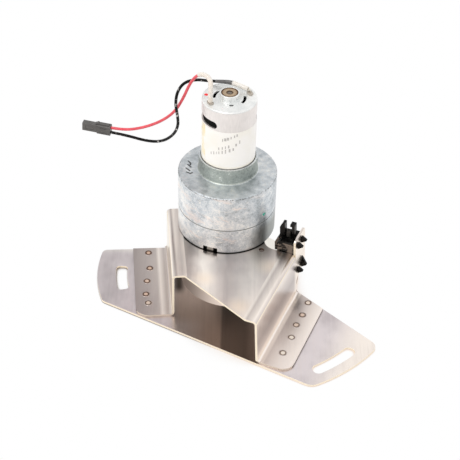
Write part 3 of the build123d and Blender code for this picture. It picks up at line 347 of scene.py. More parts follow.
def pressedColour(at):
    # painted reflections: the top plate's bands, the bends beside it, the walls and the flanges; painted
    # shade: the dark inner faces
    plate = levels(plus(at.across, times(minus(at.clouds, 0.5), sheet["sway"] * mm)), "plate")
    # painted reflection: the plate darker towards the rear, where it mirrors the gearbox
    rear = times(fadeMm(at.back, *pressed["rearFrom"]), pressed["rearShare"])
    plate = tinged(plate, pressed["rear"], rear)
    # painted highlights: the glints
    for x, y, radius in pressed["glints"]:
        glint = fade(awayFrom(at.parts, x * mm, y * mm), radius * mm, 0.0)
        plate = tinged(plate, pressed["glint"], times(glint, pressed["glintShare"]))
    # painted reflection: the gearbox's foot mirrored as a dark line beside it
    fromGearbox = minus(awayFrom(at.parts, gearboxAxis.x, gearboxAxis.y), gearboxRadius)
    plate = tinged(plate, pressed["contact"], fadeMm(fromGearbox, *pressed["contactFrom"]))
    onTop = above(at.height, plateTop - pressed["bendDown"] * mm)
    # painted reflections along the bends beside the top plate
    for bend, out in (("leftBend", at.left), ("rightBend", at.right)):
        start = sheet[bend][0][0]
        plate = mixed(times(fadeMm(out, start - 0.3, start + 0.3), onTop), plate, levels(out, bend))
    # painted reflections in bands across the flanges, paler towards the front
    flanges = mixed(above(at.left, 0.0), levels(at.right, "rightFlange"), levels(at.left, "leftFlange"))
    front = times(fadeMm(at.back, *pressed["frontFrom"]), pressed["frontShare"])
    flanges = tinged(flanges, pressed["front"], front)
    colour = mixed(fadeMm(minus(at.height, plateTop), *pressed["plateDown"]), flanges, plate)
    # painted reflections on the walls' outer faces: the left wall near white, the right wall in bands, the
    # ear paler; painted shade on the flanges' outer edges and the inner faces
    upright = below(unsigned(at.facing[2]), 0.35)
    rightWall = tinged(levels(at.height, "rightWall"), pressed["ear"], fadeMm(at.back, *pressed["earFrom"]))
    for normal, out, wall in (("leftNormal", at.left, tint(*pressed["leftWall"])),
                              ("rightNormal", at.right, rightWall)):
        square, placed = along(at.facing, sheet[normal]), above(out, pressed["wallsOut"] * mm)
        outer = times(above(square, 0.8), placed, upright)
        rim = times(outer, below(at.height, flangeTop + 0.1 * mm), above(out, pressed["rimOut"] * mm))
        colour = tinged(mixed(outer, colour, wall), pressed["rim"], rim)
        colour = tinged(colour, pressed["inner"], times(below(square, -0.5), placed))
    # downward faces get a paler tone, painted light that the base sheet mirrors
    return tinged(colour, pressed["under"], below(at.facing[2], -0.3))


# The base sheet: its wings, and the part inside the channel, in painted reflections with a paler front and a
# dark corner of painted shade
base = {
    "wings": [(0.38, (198, 189, 190)), (0.62, (216, 207, 208))], "wingGain": 1.14,
    "wingEnd": (250, 240, 231, 1.2), "wingEndFrom": (78, 106),
    "front": (226, 214, 210, 1.2), "frontFrom": ((-44, -58), (-14, -32)),
    "corner": (80, 71, 64, 1.1), "cornerFrom": ((-27, -17), (-30, -36)),
    "insideFrom": ((46, 38), (51, 48)), "rim": (252, 248, 240, 1.1), "rimFrom": (14, 26)}


def baseColour(at):
    # pale wings outside the channel, paler at their far end, and brown and dark where the sheet mirrors the
    # channel's inside, all painted reflection; painted near white at the rear, a painted reflection
    wing = tinged(tintRamp(at.clouds, base["wings"], base["wingGain"]), base["wingEnd"],
                  fadeMm(at.right, *base["wingEndFrom"]))
    channel = levels(at.across, "channel", "inside")
    for zone in ("front", "corner"):
        backFrom, acrossFrom = base[zone + "From"]
        inZone = times(fadeMm(at.back, *backFrom), fadeMm(at.across, *acrossFrom))
        channel = tinged(channel, base[zone], inZone)
    leftFrom, rightFrom = base["insideFrom"]
    colour = mixed(times(fadeMm(at.left, *leftFrom), fadeMm(at.right, *rightFrom)), wing, channel)
    return tinged(colour, base["rim"], fadeMm(at.back, *base["rimFrom"]))


# Die-cast zinc: mottled grey with warm smears of painted reflection and pale scratches, a greener collar,
# painted light and shade on the side and a notch painted black as painted shade. The distances to the right
# are shares of the gearbox's radius, and the marks are warm smears of painted reflection and pale scratches
casting = {
    "grains": [(55.0, 3.0, 0.6), (240.0, 4.0, 0.65), (900.0, 4.0, 0.75)], "rough": (0.30, 0.50),
    "relief": (0.16, 0.0003), "frontTurn": 28.0, "gain": 1.38, "shares": (0.30, 0.34, 0.36),
    "tones": [(0.38, (140, 146, 149)), (0.50, (184, 189, 193)), (0.62, (240, 239, 236))],
    "lighter": (0.045, -0.012), "lighterFrom": (-1.0, 0.2),
    "marks": [{"tone": (240, 224, 214, 1.2), "grain": (60.0, 4.0, 0.6, (1, 1, 2.6)),
               "shown": (0.54, 0.68), "rightFrom": (0.9, 0.2), "share": 0.6},
              {"tone": (252, 248, 242, 1.25), "grain": (330.0, 6.0, 0.75, (0.6, 0.6, 1.7)),
               "shown": (0.575, 0.62), "rightFrom": (1.0, -0.6), "share": 1.0}],
    "collarShares": (0.25, 0.25, 0.5), "collarShare": 0.9, "collarFrom": 0.15, "steep": 0.93,
    "collar": [(0.40, (128, 134, 128)), (0.49, (172, 179, 171)), (0.56, (172, 179, 171)),
               (0.63, (232, 236, 230))],
    "shade": (150, 152, 146), "shadeTurn": 5.0, "shadeFrom": (0.72, 0.95), "shadeDown": (2, -8),
    "shadeShare": 0.8, "seam": (112, 116, 114), "seamFrom": (0.45, 0.20), "worn": (88, 88, 84),
    "wornDown": 0.55, "wornFrom": (0.75, 0.15), "wornShown": (0.47, 0.55), "wornShare": 0.85,
    "foot": (70, 70, 68), "footFrom": (0.9, 0.2)}
notch = {"turn": -80.3, "half": 5.2, "high": 3.4, "depth": (2.6, 0.55), "black": (0.004, 0.004, 0.004)}


def castZinc(place):
    height, facing = split(place)[2], unsigned(facingOf(place)[2])
    grains = grainsOf(place, casting["grains"])
    side = below(facing, 0.5)
    out = split(addNode(treeOf([place]), "ShaderNodeVectorMath", {0: place, 1: gearboxAxis},
                        operation="SUBTRACT").outputs[0])
    rightward = maths("DIVIDE", along(out, casting["frontTurn"]), gearboxRadius)
    # painted light: lighter on the left of the side, greyer towards the right
    lighter = times(side, between(rightward, *casting["lighter"], *casting["lighterFrom"]))
    colour = tintRamp(plus(blended(grains, casting["shares"]), lighter), casting["tones"], casting["gain"])
    # painted reflection in the warm smears; pale scratches, more on the left
    for mark in casting["marks"]:
        shown = fade(grainNoise(place, *mark["grain"]), *mark["shown"])
        shown = times(shown, side, fade(rightward, *mark["rightFrom"]), mark["share"])
        colour = tinged(colour, mark["tone"], shown)
    onCollar = times(above(height, collarFoot + casting["collarFrom"] * mm), below(facing, casting["steep"]))
    colour = mixed(times(onCollar, casting["collarShare"]), colour,
                   tintRamp(blended(grains, casting["collarShares"]), casting["collar"]))
    # painted shade low on the right, a thin dark line at the seam, worn specks along the top edge, and
    # painted shade at the foot as a dark line
    fromSeam = minus(height, seamLevel)
    lowRight = fade(maths("DIVIDE", along(out, casting["shadeTurn"]), gearboxRadius), *casting["shadeFrom"])
    lowRight = times(lowRight, fadeMm(fromSeam, *casting["shadeDown"]), casting["shadeShare"])
    colour = tinged(colour, casting["shade"], lowRight)
    colour = tinged(colour, casting["seam"], fadeMm(unsigned(fromSeam), *casting["seamFrom"]))
    worn = fadeMm(unsigned(minus(height, collarFoot - casting["wornDown"] * mm)), *casting["wornFrom"])
    worn = times(worn, fade(grains[2], *casting["wornShown"]), casting["wornShare"])
    colour = tinged(colour, casting["worn"], worn)
    colour = tinged(colour, casting["foot"], fadeMm(minus(height, plateTop), *casting["footFrom"]))
    # painted shade: black inside the notch, as high as the tab
    reach, aside = minus(gearboxRadius, along(out, notch["turn"])), along(out, notch["turn"] + 90)
    deep, shallow = (value * mm for value in notch["depth"])
    inside = times(below(reach, deep), above(reach, shallow), below(unsigned(aside), notch["half"] * mm),
                   below(height, plateTop + notch["high"] * mm))
    pitted = plus(grains[1], times(grains[2], 0.6))
    return {"Base Color": mixed(inside, colour, notch["black"]), "Metallic": 0.85,
            "Roughness": between(grains[1], *casting["rough"])}, (pitted, *casting["relief"])


# Paper label: cream white with a yellowed overlap strip and lower rim
paper = {
    "grains": [(70.0, 3.0, 0.5), (3000.0, 2.0, 0.6), (150.0, 3.0, 0.6, (1, 1, 0.7))],
    "tones": [(0.40, (0.98, 0.98, 0.965)), (0.68, (0.95, 0.94, 0.885))], "rough": (0.30, 0.42),
    "overlap": (0.93, 0.83, 0.56), "overlapAngles": (-139.0, -119.0), "overlapShown": (0.42, 0.62),
    "rim": (0.96, 0.92, 0.78), "rimFrom": (2.0, 0.5), "rimShare": 0.7, "relief": (0.05, 0.0001)}


def labelPaper(place):
    x, y, height = split(place)
    clouds, fine, streaks = grainsOf(place, paper["grains"])
    angle = maths("ARCTAN2", minus(y, motorAxis.y), minus(x, motorAxis.x))
    low, high = (radians(value) for value in paper["overlapAngles"])
    overlap = times(above(angle, low), below(angle, high), fade(streaks, *paper["overlapShown"]))
    rim = times(fadeMm(minus(height, labelLow.z), *paper["rimFrom"]), paper["rimShare"])
    colour = mixed(overlap, ramp(clouds, paper["tones"]), paper["overlap"])
    return {"Base Color": mixed(rim, colour, paper["rim"]), "Coat Weight": 0.25,
            "Roughness": between(fine, *paper["rough"])}, (fine, *paper["relief"])


# Sintered bronze face: turned rings round the shaft, pale between a dark centre and a brown rim
bearingFace = {
    "radius": 5.6, "ringPitch": 9000.0, "ringShare": 0.05, "grain": (1800.0, 4.0, 0.7),
    "speckle": [(0.38, (0.62, 0.58, 0.54)), (0.62, (1.0, 0.98, 0.95))], "rough": (0.34, 0.55),
    "rings": [(0.30, (70, 50, 38)), (0.38, (150, 124, 98)), (0.50, (214, 196, 172)),
              (0.80, (196, 172, 144)), (0.86, (112, 82, 58)), (1.0, (84, 58, 40))],
    "relief": (0.2, 0.0002)}


def turnedBronze(place):
    radius = awayFrom(split(place), motorAxis.x, motorAxis.y)
    fine = grainNoise(place, *bearingFace["grain"])
    turned = maths("SINE", times(radius, bearingFace["ringPitch"]))
    tone = plus(fine, times(turned, bearingFace["ringShare"]))
    rings = tintRamp(maths("DIVIDE", radius, bearingFace["radius"] * mm), bearingFace["rings"])
    return {"Base Color": mixed(1.0, rings, ramp(tone, bearingFace["speckle"]), "MULTIPLY"),
            "Metallic": 0.9,
            "Roughness": between(fine, *bearingFace["rough"])}, (tone, *bearingFace["relief"])


# Moulded black plastic: near black with worn patches, and brown-grey painted light in patches on the block's
# front face
moulding = {
    "grains": [(170.0, 3.0, 0.6), (420.0, 3.0, 0.6)], "frontTurn": -83.3, "rough": (0.12, 0.30),
    "black": (0.002, 0.002, 0.002), "worn": (0.012, 0.011, 0.010), "wornShown": (0.50, 0.64),
    "paintedLight": (116, 104, 94), "paintedLightShown": (0.40, 0.52), "blockShare": (0.72, 0.70),
    "relief": (0.35, 0.0004)}


def sensorPlastic(place):
    x, y, height = split(place)
    clouds, patches = grainsOf(place, moulding["grains"])
    colour = mixed(fade(patches, *moulding["wornShown"]), moulding["black"], moulding["worn"])
    front = above(along(facingOf(place), moulding["frontTurn"]), 0.75)
    size = sensorHigh - sensorLow
    block = times(below(x, sensorLow.x + size.x * moulding["blockShare"][0]),
                  below(height, sensorLow.z + size.z * moulding["blockShare"][1]))
    paintedLit = times(front, block, fade(clouds, *moulding["paintedLightShown"]))
    return {"Base Color": tinged(colour, moulding["paintedLight"], paintedLit), "Specular IOR Level": 0.16,
            "Roughness": between(patches, *moulding["rough"])}, (patches, *moulding["relief"])


# Black lead: near-black plastic with short pale painted glints
cordSkin = {
    "grain": (430.0, 2.0, 0.5), "black": (0.003, 0.003, 0.003), "paintedLight": (0.50, 0.49, 0.48),
    "paintedLightShown": (0.62, 0.70), "rough": (0.30, 0.18), "relief": (0.2, 0.0003)}


def cordWithPaintedGlints(place):
    paintedGlints = fade(grainNoise(place, *cordSkin["grain"]), *cordSkin["paintedLightShown"])
    return {"Base Color": mixed(paintedGlints, cordSkin["black"], cordSkin["paintedLight"]), "Specular IOR Level": 0.14,
            "Roughness": between(paintedGlints, *cordSkin["rough"])}, (paintedGlints, *cordSkin["relief"])


# Spot weld: a nugget in a brown heat ring that fades into the sheet, darker on the warmer welds
weldTones = {
    "pale": [(0.35, (248, 238, 226)), (0.54, (232, 216, 200)), (0.62, (88, 68, 54)),
             (0.74, (112, 92, 80)), (0.84, (206, 194, 188)), (1.0, (214, 204, 200))],
    "brown": [(0.30, (226, 192, 170)), (0.48, (188, 152, 130)), (0.60, (56, 38, 30)),
              (0.74, (72, 52, 42)), (0.84, (156, 136, 126)), (1.0, (190, 179, 176))],
    "grains": [(700.0, 3.0, 0.6), (320.0, 2.0, 0.5)], "unevenRing": 0.2, "unevenWarmth": 0.9,
    "rough": (0.22, 0.40), "relief": (0.2, 0.0002)}


def weldFinish(place):
    reach, warmth = (addNode(treeOf([place]), "ShaderNodeAttribute", attribute_name=layer).outputs["Fac"]
                     for layer in ("reach", "warmth"))
    mottle, patch = grainsOf(place, weldTones["grains"])
    ring = plus(reach, times(minus(mottle, 0.5), weldTones["unevenRing"]))
    share = maths("ADD", warmth, times(minus(patch, 0.5), weldTones["unevenWarmth"]), clamp=True)
    colour = mixed(share, tintRamp(ring, weldTones["pale"]), tintRamp(ring, weldTones["brown"]))
    return {"Base Color": colour, "Roughness": between(mottle, *weldTones["rough"]),
            "Metallic": 0.9}, (mottle, *weldTones["relief"])


# Clear sleeve: yellowed plastic tube that lets the wire show through
clearTube = {
    "grain": (240.0, 2.0, 0.5), "tones": [(0.35, (0.97, 0.90, 0.81)), (0.70, (0.98, 0.96, 0.92))],
    "rough": (0.18, 0.35), "relief": (0.04, 0.0002)}


def clearSleeveFinish(place):
    clouds = grainNoise(place, *clearTube["grain"])
    return {"Base Color": ramp(clouds, clearTube["tones"]), "Transmission Weight": 0.15, "IOR": 1.35,
            "Alpha": 0.86, "Roughness": between(clouds, *clearTube["rough"])}, (clouds, *clearTube["relief"])


# Plain finishes: dark and light colour, metallic, least and most roughness, and what differs from the usual
plainFinishes = {
    "plated_steel": ((0.52, 0.52, 0.50), (0.78, 0.77, 0.74), 1.0, (0.16, 0.30), {}),
    "dark_steel": ((0.10, 0.098, 0.095), (0.44, 0.43, 0.41), 1.0, (0.14, 0.26), {"grain": 700.0}),
    "screw_steel": ((0.36, 0.36, 0.36), (0.62, 0.61, 0.60), 1.0, (0.22, 0.36), {"grain": 2200.0}),
    "shaft_steel": (tint(110, 100, 92), tint(186, 176, 164), 1.0, (0.20, 0.36), {}),
    "ground_steel": ((0.55, 0.55, 0.55), (0.75, 0.75, 0.75), 1.0, (0.12, 0.24),
                     {"grain": 3000.0, "stretch": (1, 1, 8)}),
    "gear_steel": ((0.34, 0.34, 0.35), (0.55, 0.55, 0.56), 1.0, (0.20, 0.34), {}),
    "gear_brass": ((0.62, 0.45, 0.18), (0.80, 0.63, 0.32), 1.0, (0.22, 0.36), {}),
    "can_nickel": (tint(226, 221, 218), tint(246, 240, 237), 0.72, (0.30, 0.42),
                   {"cloud": 60.0, "grain": 1500.0, "stretch": (1, 1, 0.15), "relief": 0.04}),
    "bell_zinc": (tint(222, 225, 225), tint(254, 254, 252), 0.58, (0.28, 0.44),
                  {"cloud": 110.0, "grain": 1200.0, "relief": 0.08}),
    "sensor_grey": ((0.012, 0.011, 0.010), (0.075, 0.068, 0.060), 0.0, (0.20, 0.38),
                    {"grain": 2200.0, "specular": 0.2}),
    "grey_plastic": ((0.055, 0.052, 0.050), (0.12, 0.115, 0.11), 0.0, (0.30, 0.50), {"grain": 2200.0}),
    "insulator_board": ((0.33, 0.29, 0.24), (0.55, 0.50, 0.44), 0.0, (0.40, 0.60), {"grain": 1600.0}),
    "tinned_brass": ((0.62, 0.57, 0.48), (0.84, 0.80, 0.72), 1.0, (0.20, 0.38), {}),
    "red_insulation": ((0.70, 0.050, 0.080), (0.84, 0.10, 0.13), 0.0, (0.30, 0.42),
                       {"cloud": 200.0, "relief": 0.05, "coat": 0.2}),
    "shrink_grey": ((0.07, 0.068, 0.07), (0.17, 0.165, 0.165), 0.0, (0.28, 0.42),
                    {"relief": 0.1, "coat": 0.2}),
    "copper_wire": ((0.50, 0.22, 0.12), (0.78, 0.42, 0.28), 1.0, (0.22, 0.36), {}),
    "lamination_iron": ((0.16, 0.16, 0.165), (0.30, 0.30, 0.31), 0.9, (0.32, 0.48),
                        {"grain": 1400.0, "stretch": (0.2, 0.2, 3)}),
    "magnet_ferrite": ((0.045, 0.045, 0.048), (0.10, 0.10, 0.105), 0.1, (0.45, 0.62), {}),
    "brush_carbon": ((0.02, 0.02, 0.02), (0.055, 0.05, 0.05), 0.2, (0.40, 0.55), {}),
    "red_paint": ((0.80, 0.015, 0.02), (0.92, 0.05, 0.05), 0.0, (0.35, 0.5), {"relief": 0.2}),
    "green_paint": ((0.008, 0.30, 0.21), (0.04, 0.48, 0.36), 0.0, (0.35, 0.55), {"relief": 0.3}),
    "marker_ink": ((0.010, 0.010, 0.012), (0.045, 0.045, 0.05), 0.0, (0.35, 0.6), {"relief": 0.1}),
    "print_ink": ((0.40, 0.39, 0.38), (0.74, 0.73, 0.71), 0.0, (0.4, 0.55), {"grain": 3500.0}),
    "cavity_black": ((0.002, 0.002, 0.002), (0.006, 0.006, 0.006), 0.0, (0.7, 0.9),
                     {"specular": 0.1, "relief": 0.05})}

looks = {
    "rolled_steel": (sheetSteel, baseColour, []),
    "pressed_steel": (sheetSteel, pressedColour, [sheet["leftNormal"], sheet["rightNormal"]]),
    "cast_zinc": (castZinc,), "label_paper": (labelPaper,), "turned_bronze": (turnedBronze,),
    "weld_tint": (weldFinish,), "sleeve_clear": (clearSleeveFinish,),
    "black_plastic": (sensorPlastic,), "black_insulation": (cordWithPaintedGlints,)}
finishes = {name: makeFinish(name, *look) for name, look in looks.items()}
for name, (*values, unusual) in plainFinishes.items():
    finishes[name] = makeFinish(name, plainFinish, *values, **unusual)

nodesIn = {
    "rolled_steel": ["base_plate"], "pressed_steel": ["motor_bracket"], "dark_steel": ["adapter_plate"],
    "cast_zinc": ["lower_housing", "upper_housing"], "plated_steel": ["gear_plate"],
    "screw_steel": ["housing_screws", "bracket_screws", "motor_screws"],
    "gear_steel": ["motor_pinion", "output_wheel", "retaining_ring"],
    "gear_brass": ["first_gear", "second_gear"],
    "ground_steel": ["output_shaft", "first_gear_pin", "second_gear_pin"], "shaft_steel": ["motor_shaft"],
    "turned_bronze": ["output_bush", "output_top_bush", "front_bearing", "rear_bearing"],
    "can_nickel": ["motor_can"], "label_paper": ["motor_label"], "bell_zinc": ["end_bell"],
    "magnet_ferrite": ["magnets"], "lamination_iron": ["armature"],
    "copper_wire": ["armature_winding", "commutator"], "cavity_black": ["brush_holder"],
    "brush_carbon": ["brushes"], "insulator_board": ["positive_insulator", "negative_insulator"],
    "tinned_brass": ["positive_terminal", "negative_terminal", "connector_contacts"],
    "sleeve_clear": ["red_sleeve", "black_sleeve"], "red_insulation": ["red_lead"],
    "black_insulation": ["black_lead"], "grey_plastic": ["connector_housing"],
    "black_plastic": ["sensor_housing"], "sensor_grey": ["sensor_insert"]}
for name, members in nodesIn.items():
    for node in members:
        for materialSlot in nodes[node].material_slots:
            materialSlot.material = finishes[name]
print("finishes on", sum(len(members) for members in nodesIn.values()), "nodes")


# Rounded edges on the carried-over solids: the width in millimetres and the nodes that have it
edgeRounding = {
    0.2: ["base_plate", "motor_bracket", "adapter_plate", "connector_housing",
          "positive_insulator", "negative_insulator"],
    0.12: ["sensor_housing", "end_bell"],
    0.1: ["sensor_insert", "positive_terminal", "negative_terminal", "housing_screws",
          "bracket_screws", "retaining_ring", "output_shaft"]}


def roundEdges(target, width, segments=2):
    weld = target.modifiers.new("joined", "WELD")
    weld.merge_threshold = 0.00001
    bevel = target.modifiers.new("rounded", "BEVEL")
    bevel.width = width * mm
    bevel.segments = segments
    bevel.limit_method = "ANGLE"
    bevel.angle_limit = radians(35)
    bevel.harden_normals = True


for width, members in edgeRounding.items():
    for node in members:
        roundEdges(nodes[node], width)


# New pieces: a mesh or curve object with its finish, body and slot
def addPiece(name, data, finish, body="frame"):
    piece = addObject(name, data)
    data.materials.append(finishes[finish])
    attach(piece, body)
    return piece


def meshFrom(name, shape, smooth=True):
    data = bpy.data.meshes.new(name)
    bmesh.ops.recalc_face_normals(shape, faces=shape.faces)
    shape.to_mesh(data)
    shape.free()
    for face in data.polygons:
        face.use_smooth = smooth
    return data


def joinRows(shape, first, second):
    # a closed band of faces between two rings of points
    for k in range(len(first)):
        shape.faces.new((first[k], first[k - 1], second[k - 1], second[k]))


def roundPoint(axis, radius, turn, height):
    return axis.x + radius * cos(turn), axis.y + radius * sin(turn), height


# Leads: each route repeats the solid's points and is one smooth curve
redLead = {
    "route": [(-18.11, -2.11, 140.95), (-18.11, -2.11, 146.95), (-20.1, 1.7, 152.0),
              (-26.0, 5.4, 152.6), (-33.0, 7.0, 149.2), (-38.9, 8.0, 140.5), (-44.4, 8.8, 126.6),
              (-51.2, 9.2, 113.0), (-61.7, 9.5, 101.6), (-75.3, 9.2, 91.7), (-92.04, 9.92, 82.72),
              (-101.6, 7.03, 83.25)],
    "length": 128.1, "diameter": 2.0, "sleeve": (-2.1, 25.0)}
blackLead = {
    "route": [(-5.63, 20.32, 141.03), (-13.6, 20.0, 142.4), (-21.9, 18.9, 141.1),
              (-30.7, 17.6, 139.3), (-38.9, 16.1, 138.6), (-46.0, 12.8, 136.0),
              (-48.6, 8.1, 130.8), (-48.1, 4.5, 123.6), (-46.2, 3.8, 115.6), (-46.3, 5.4, 106.4),
              (-51.3, 7.8, 95.2), (-61.1, 9.4, 85.0), (-73.4, 9.6, 80.4), (-92.24, 9.86, 78.83),
              (-101.8, 6.97, 79.35)],
    "length": 142.8, "diameter": 2.0, "sleeve": (-2.4, 8.6)}
sleeveSize = {"outer": 1.55, "inner": 1.12, "wrinkle": 0.05, "wrinkles": 14}
shrinkSize = {"reach": (8.0, 20.5), "outer": 1.5, "taper": 0.38}


def leadCurve(name, lead, thickness):
    data = bpy.data.curves.new(name, "CURVE")
    data.dimensions = "3D"
    data.bevel_depth = thickness * mm / 2
    data.bevel_resolution = 6
    data.resolution_u = 10
    data.use_fill_caps = True
    spline = data.splines.new("NURBS")
    spline.points.add(len(lead["route"]) - 1)
    for point, place in zip(spline.points, lead["route"]):
        point.co = (*(Vector(place) * mm), 1)
    spline.order_u = 3
    spline.use_endpoint_u = True
    return data


def routeLine(lead):
    # points along the lead's own smooth line, in metres
    carrier = addObject("line", leadCurve("line", lead, 0))
    bpy.context.view_layer.update()
    line = bpy.data.meshes.new_from_object(carrier.evaluated_get(bpy.context.evaluated_depsgraph_get()))
    points = [vertex.co.copy() for vertex in line.vertices]
    bpy.data.objects.remove(carrier)
    return points


def stretchOf(points, reach, step=0.0006):
    # evenly spaced points between two distances along the line; below 0 they run straight back from it
    start, end = (distance * mm for distance in reach)
    places, travelled = [], [0.0]
    for first, second in zip(points, points[1:]):
        travelled.append(travelled[-1] + (second - first).length)
    count = max(2, int((end - start) / step))
    for index in range(count + 1):
        distance = start + (end - start) * index / count
        if distance <= 0:
            places.append(points[0] + (points[0] - points[1]).normalized() * -distance)
            continue
        span = max(k for k in range(len(travelled) - 1) if travelled[k] <= distance)
        share = (distance - travelled[span]) / (travelled[span + 1] - travelled[span])
        places.append(points[span].lerp(points[span + 1], share))
    return places


def tubeMesh(name, places, radiusAt, bore=None, sides=20):
    # a tube along the places; radiusAt gives the radius for a share of the length, bore makes it hollow
    shape = bmesh.new()
    turnAxis = (places[1] - places[0]).orthogonal().normalized()
    walls = []
    for radius in filter(None, (radiusAt, bore)):
        normal = turnAxis
        rows = []
        for index, place in enumerate(places):
            before, after = places[max(index - 1, 0)], places[min(index + 1, len(places) - 1)]
            heading = (after - before).normalized()
            normal = (normal - heading * normal.dot(heading)).normalized()
            across = heading.cross(normal)
            size = radius(index / (len(places) - 1))
            rows.append([shape.verts.new(place + (normal * cos(turn) + across * sin(turn)) * size)
                         for turn in (2 * pi * k / sides for k in range(sides))])
        for first, second in zip(rows, rows[1:]):
            joinRows(shape, first, second)
        walls.append(rows)
    for end in (0, -1):
        if bore:
            joinRows(shape, walls[0][end], walls[1][end])
        else:
            shape.faces.new(walls[0][end])
    return meshFrom(name, shape)


def clearSleeve(name, line, lead, seed):
    def outer(share):
        ripple = noise.noise(Vector((share * sleeveSize["wrinkles"], seed, 0)))
        return sleeveSize["outer"] * mm * (1 + sleeveSize["wrinkle"] * ripple)
    tube = tubeMesh(name, stretchOf(line, lead["sleeve"]), outer, lambda share: sleeveSize["inner"] * mm)
    return addPiece(name, tube, "sleeve_clear")


redWire = addPiece("red_wire", leadCurve("red_wire", redLead, redLead["diameter"]), "red_insulation")
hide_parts("red_lead")
blackWire = addPiece("black_wire", leadCurve("black_wire", blackLead, blackLead["diameter"]),
                     "black_insulation")
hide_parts("black_lead")
redLine, blackLine = routeLine(redLead), routeLine(blackLead)
redSleeve = clearSleeve("red_sleeve_tube", redLine, redLead, 1)
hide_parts("red_sleeve")
blackSleeve = clearSleeve("black_sleeve_tube", blackLine, blackLead, 2)
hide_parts("black_sleeve")
shrink = addPiece("black_shrink_taper", tubeMesh(
    "black_shrink_taper", stretchOf(blackLine, shrinkSize["reach"]),
    lambda share: (shrinkSize["outer"] - shrinkSize["taper"] * min(1, share * 1.15) ** 1.4) * mm),
    "shrink_grey")
print("leads laid")


# Spot welds on both flanges: a nugget in a shallow ring. Each ring is a radius and a height
welds = {
    "places": [(-60.0, -13.9), (-50.6, -27.5), (-45.2, -39.8), (-38.8, -51.5), (-32.8, -58.2),
               (60.8, -3.5), (62.8, -16.2), (63.6, -26.9), (66.2, -39.0), (67.9, -54.7)],
    "warmth": [1.0, 0.9, 0.8, 0.85, 0.5, 0.35, 0.55, 0.4, 0.0, 0.1],
    "rings": [(0.65, 0.07), (1.25, 0.05), (1.55, 0.075), (1.85, 0.12), (2.15, 0.09), (2.45, 0.045),
              (2.8, 0.012)],
    "middle": 0.075, "lift": 0.002, "sides": 40, "uneven": 0.05}


def weldSpots():
    shape = bmesh.new()
    reach, warmth = (shape.verts.layers.float.new(layer) for layer in ("reach", "warmth"))
    rings, sides = welds["rings"], welds["sides"]

    def point(x, y, height, share, warm):
        vertex = shape.verts.new((x * mm, y * mm, flangeTop + height * mm))
        vertex[reach], vertex[warmth] = share, warm
        return vertex

    for number, ((x, y), warm) in enumerate(zip(welds["places"], welds["warmth"])):
        centre = point(x, y, welds["middle"], 0.0, warm)
        previous = None
        for radius, height in rings + [(rings[-1][0], welds["lift"])]:
            row = []
            for k in range(sides):
                turn = 2 * pi * k / sides
                ripple = noise.noise(Vector((2 * cos(turn), 2 * sin(turn), number * 3.7)))
                size = radius * (1 + welds["uneven"] * ripple)
                row.append(point(x + size * cos(turn), y + size * sin(turn), height,
                                 radius / rings[-1][0], warm))
            if previous:
                joinRows(shape, previous, row)
            else:
                for k in range(sides):
                    shape.faces.new((centre, row[k - 1], row[k]))
            previous = row
        # closed below, a hair above the sheet
        shape.faces.new(previous)
    return meshFrom("weld_spots", shape)


addPiece("weld_spots", weldSpots(), "weld_tint")
print("welds made")

# The casting over the notch, which leaves it as low as the tab needs
arch = {"half": 5.3, "bottom": 3.6, "top": 6.0, "depth": 1.5, "steps": 10, "lift": 0.01}


def notchArch():
    shape = bmesh.new()
    sweep = arch["half"] * mm / gearboxRadius
    outer, inner = gearboxRadius + arch["lift"] * mm, gearboxRadius - arch["depth"] * mm
    low, high = plateTop + arch["bottom"] * mm, plateTop + arch["top"] * mm
    rows = []
    for step in range(arch["steps"] + 1):
        turn = radians(notch["turn"]) + sweep * (2 * step / arch["steps"] - 1)
        rows.append([shape.verts.new(roundPoint(gearboxAxis, size, turn, level))
                     for size, level in ((outer, low), (outer, high), (inner, high), (inner, low))])
    for first, second in zip(rows, rows[1:]):
        joinRows(shape, first, second)
    shape.faces.new(rows[0])
    shape.faces.new(rows[-1])
    return meshFrom("notch_arch", shape, False)


addPiece("notch_arch", notchArch(), "cast_zinc")


# Flat marks that lie on a surface: a thin skin over an outline, level or wrapped on a round
def skinOver(shape, low, high):
    walls = [[shape.verts.new(place) for place in places] for places in (low, high)]
    for wall in walls:
        shape.faces.new(wall)
    joinRows(shape, *walls)


def onRound(shape, axis, radius, outline, thickness):
    # the outline's points are an angle times the radius, and a height
    skinOver(shape, *([roundPoint(axis, size, bent / radius, height) for bent, height in outline]
                      for size in (radius, radius + thickness)))


def blot(centre, radius, seed, uneven, sides=36):
    outline = []
    for k in range(sides):
        turn = 2 * pi * k / sides
        size = radius * (1 + uneven * noise.noise(Vector((1.6 * cos(turn), 1.6 * sin(turn), seed))))
        outline.append((centre[0] + size * cos(turn), centre[1] + size * sin(turn)))
    return outline


redDot = {"radius": 15.3, "angle": 199.0, "size": 1.3, "seed": 4.0, "uneven": 0.15, "skin": 0.05}
greenDot = {
    "angle": -13.0, "height": 62.5, "size": 1.3, "seed": 7.0, "uneven": 0.5, "skin": 0.04,
    "lift": 0.01}


def polarityDot(dot):
    shape = bmesh.new()
    centre = roundPoint(motorAxis, dot["radius"] * mm, radians(dot["angle"]), bellTop)
    outline = blot(centre, dot["size"] * mm, dot["seed"], dot["uneven"])
    skinOver(shape, *([(x, y, level) for x, y in outline] for level in (bellTop, bellTop + dot["skin"] * mm)))
    return meshFrom("polarity_dot", shape, False)


def greenMark(dot):
    shape = bmesh.new()
    centre = (radians(dot["angle"]) * gearboxRadius, dot["height"] * mm)
    outline = blot(centre, dot["size"] * mm, dot["seed"], dot["uneven"])
    onRound(shape, gearboxAxis, gearboxRadius + dot["lift"] * mm, outline, dot["skin"] * mm)
    return meshFrom("green_mark", shape)


addPiece("polarity_dot", polarityDot(redDot), "red_paint")
addPiece("green_mark", greenMark(greenDot), "green_paint")

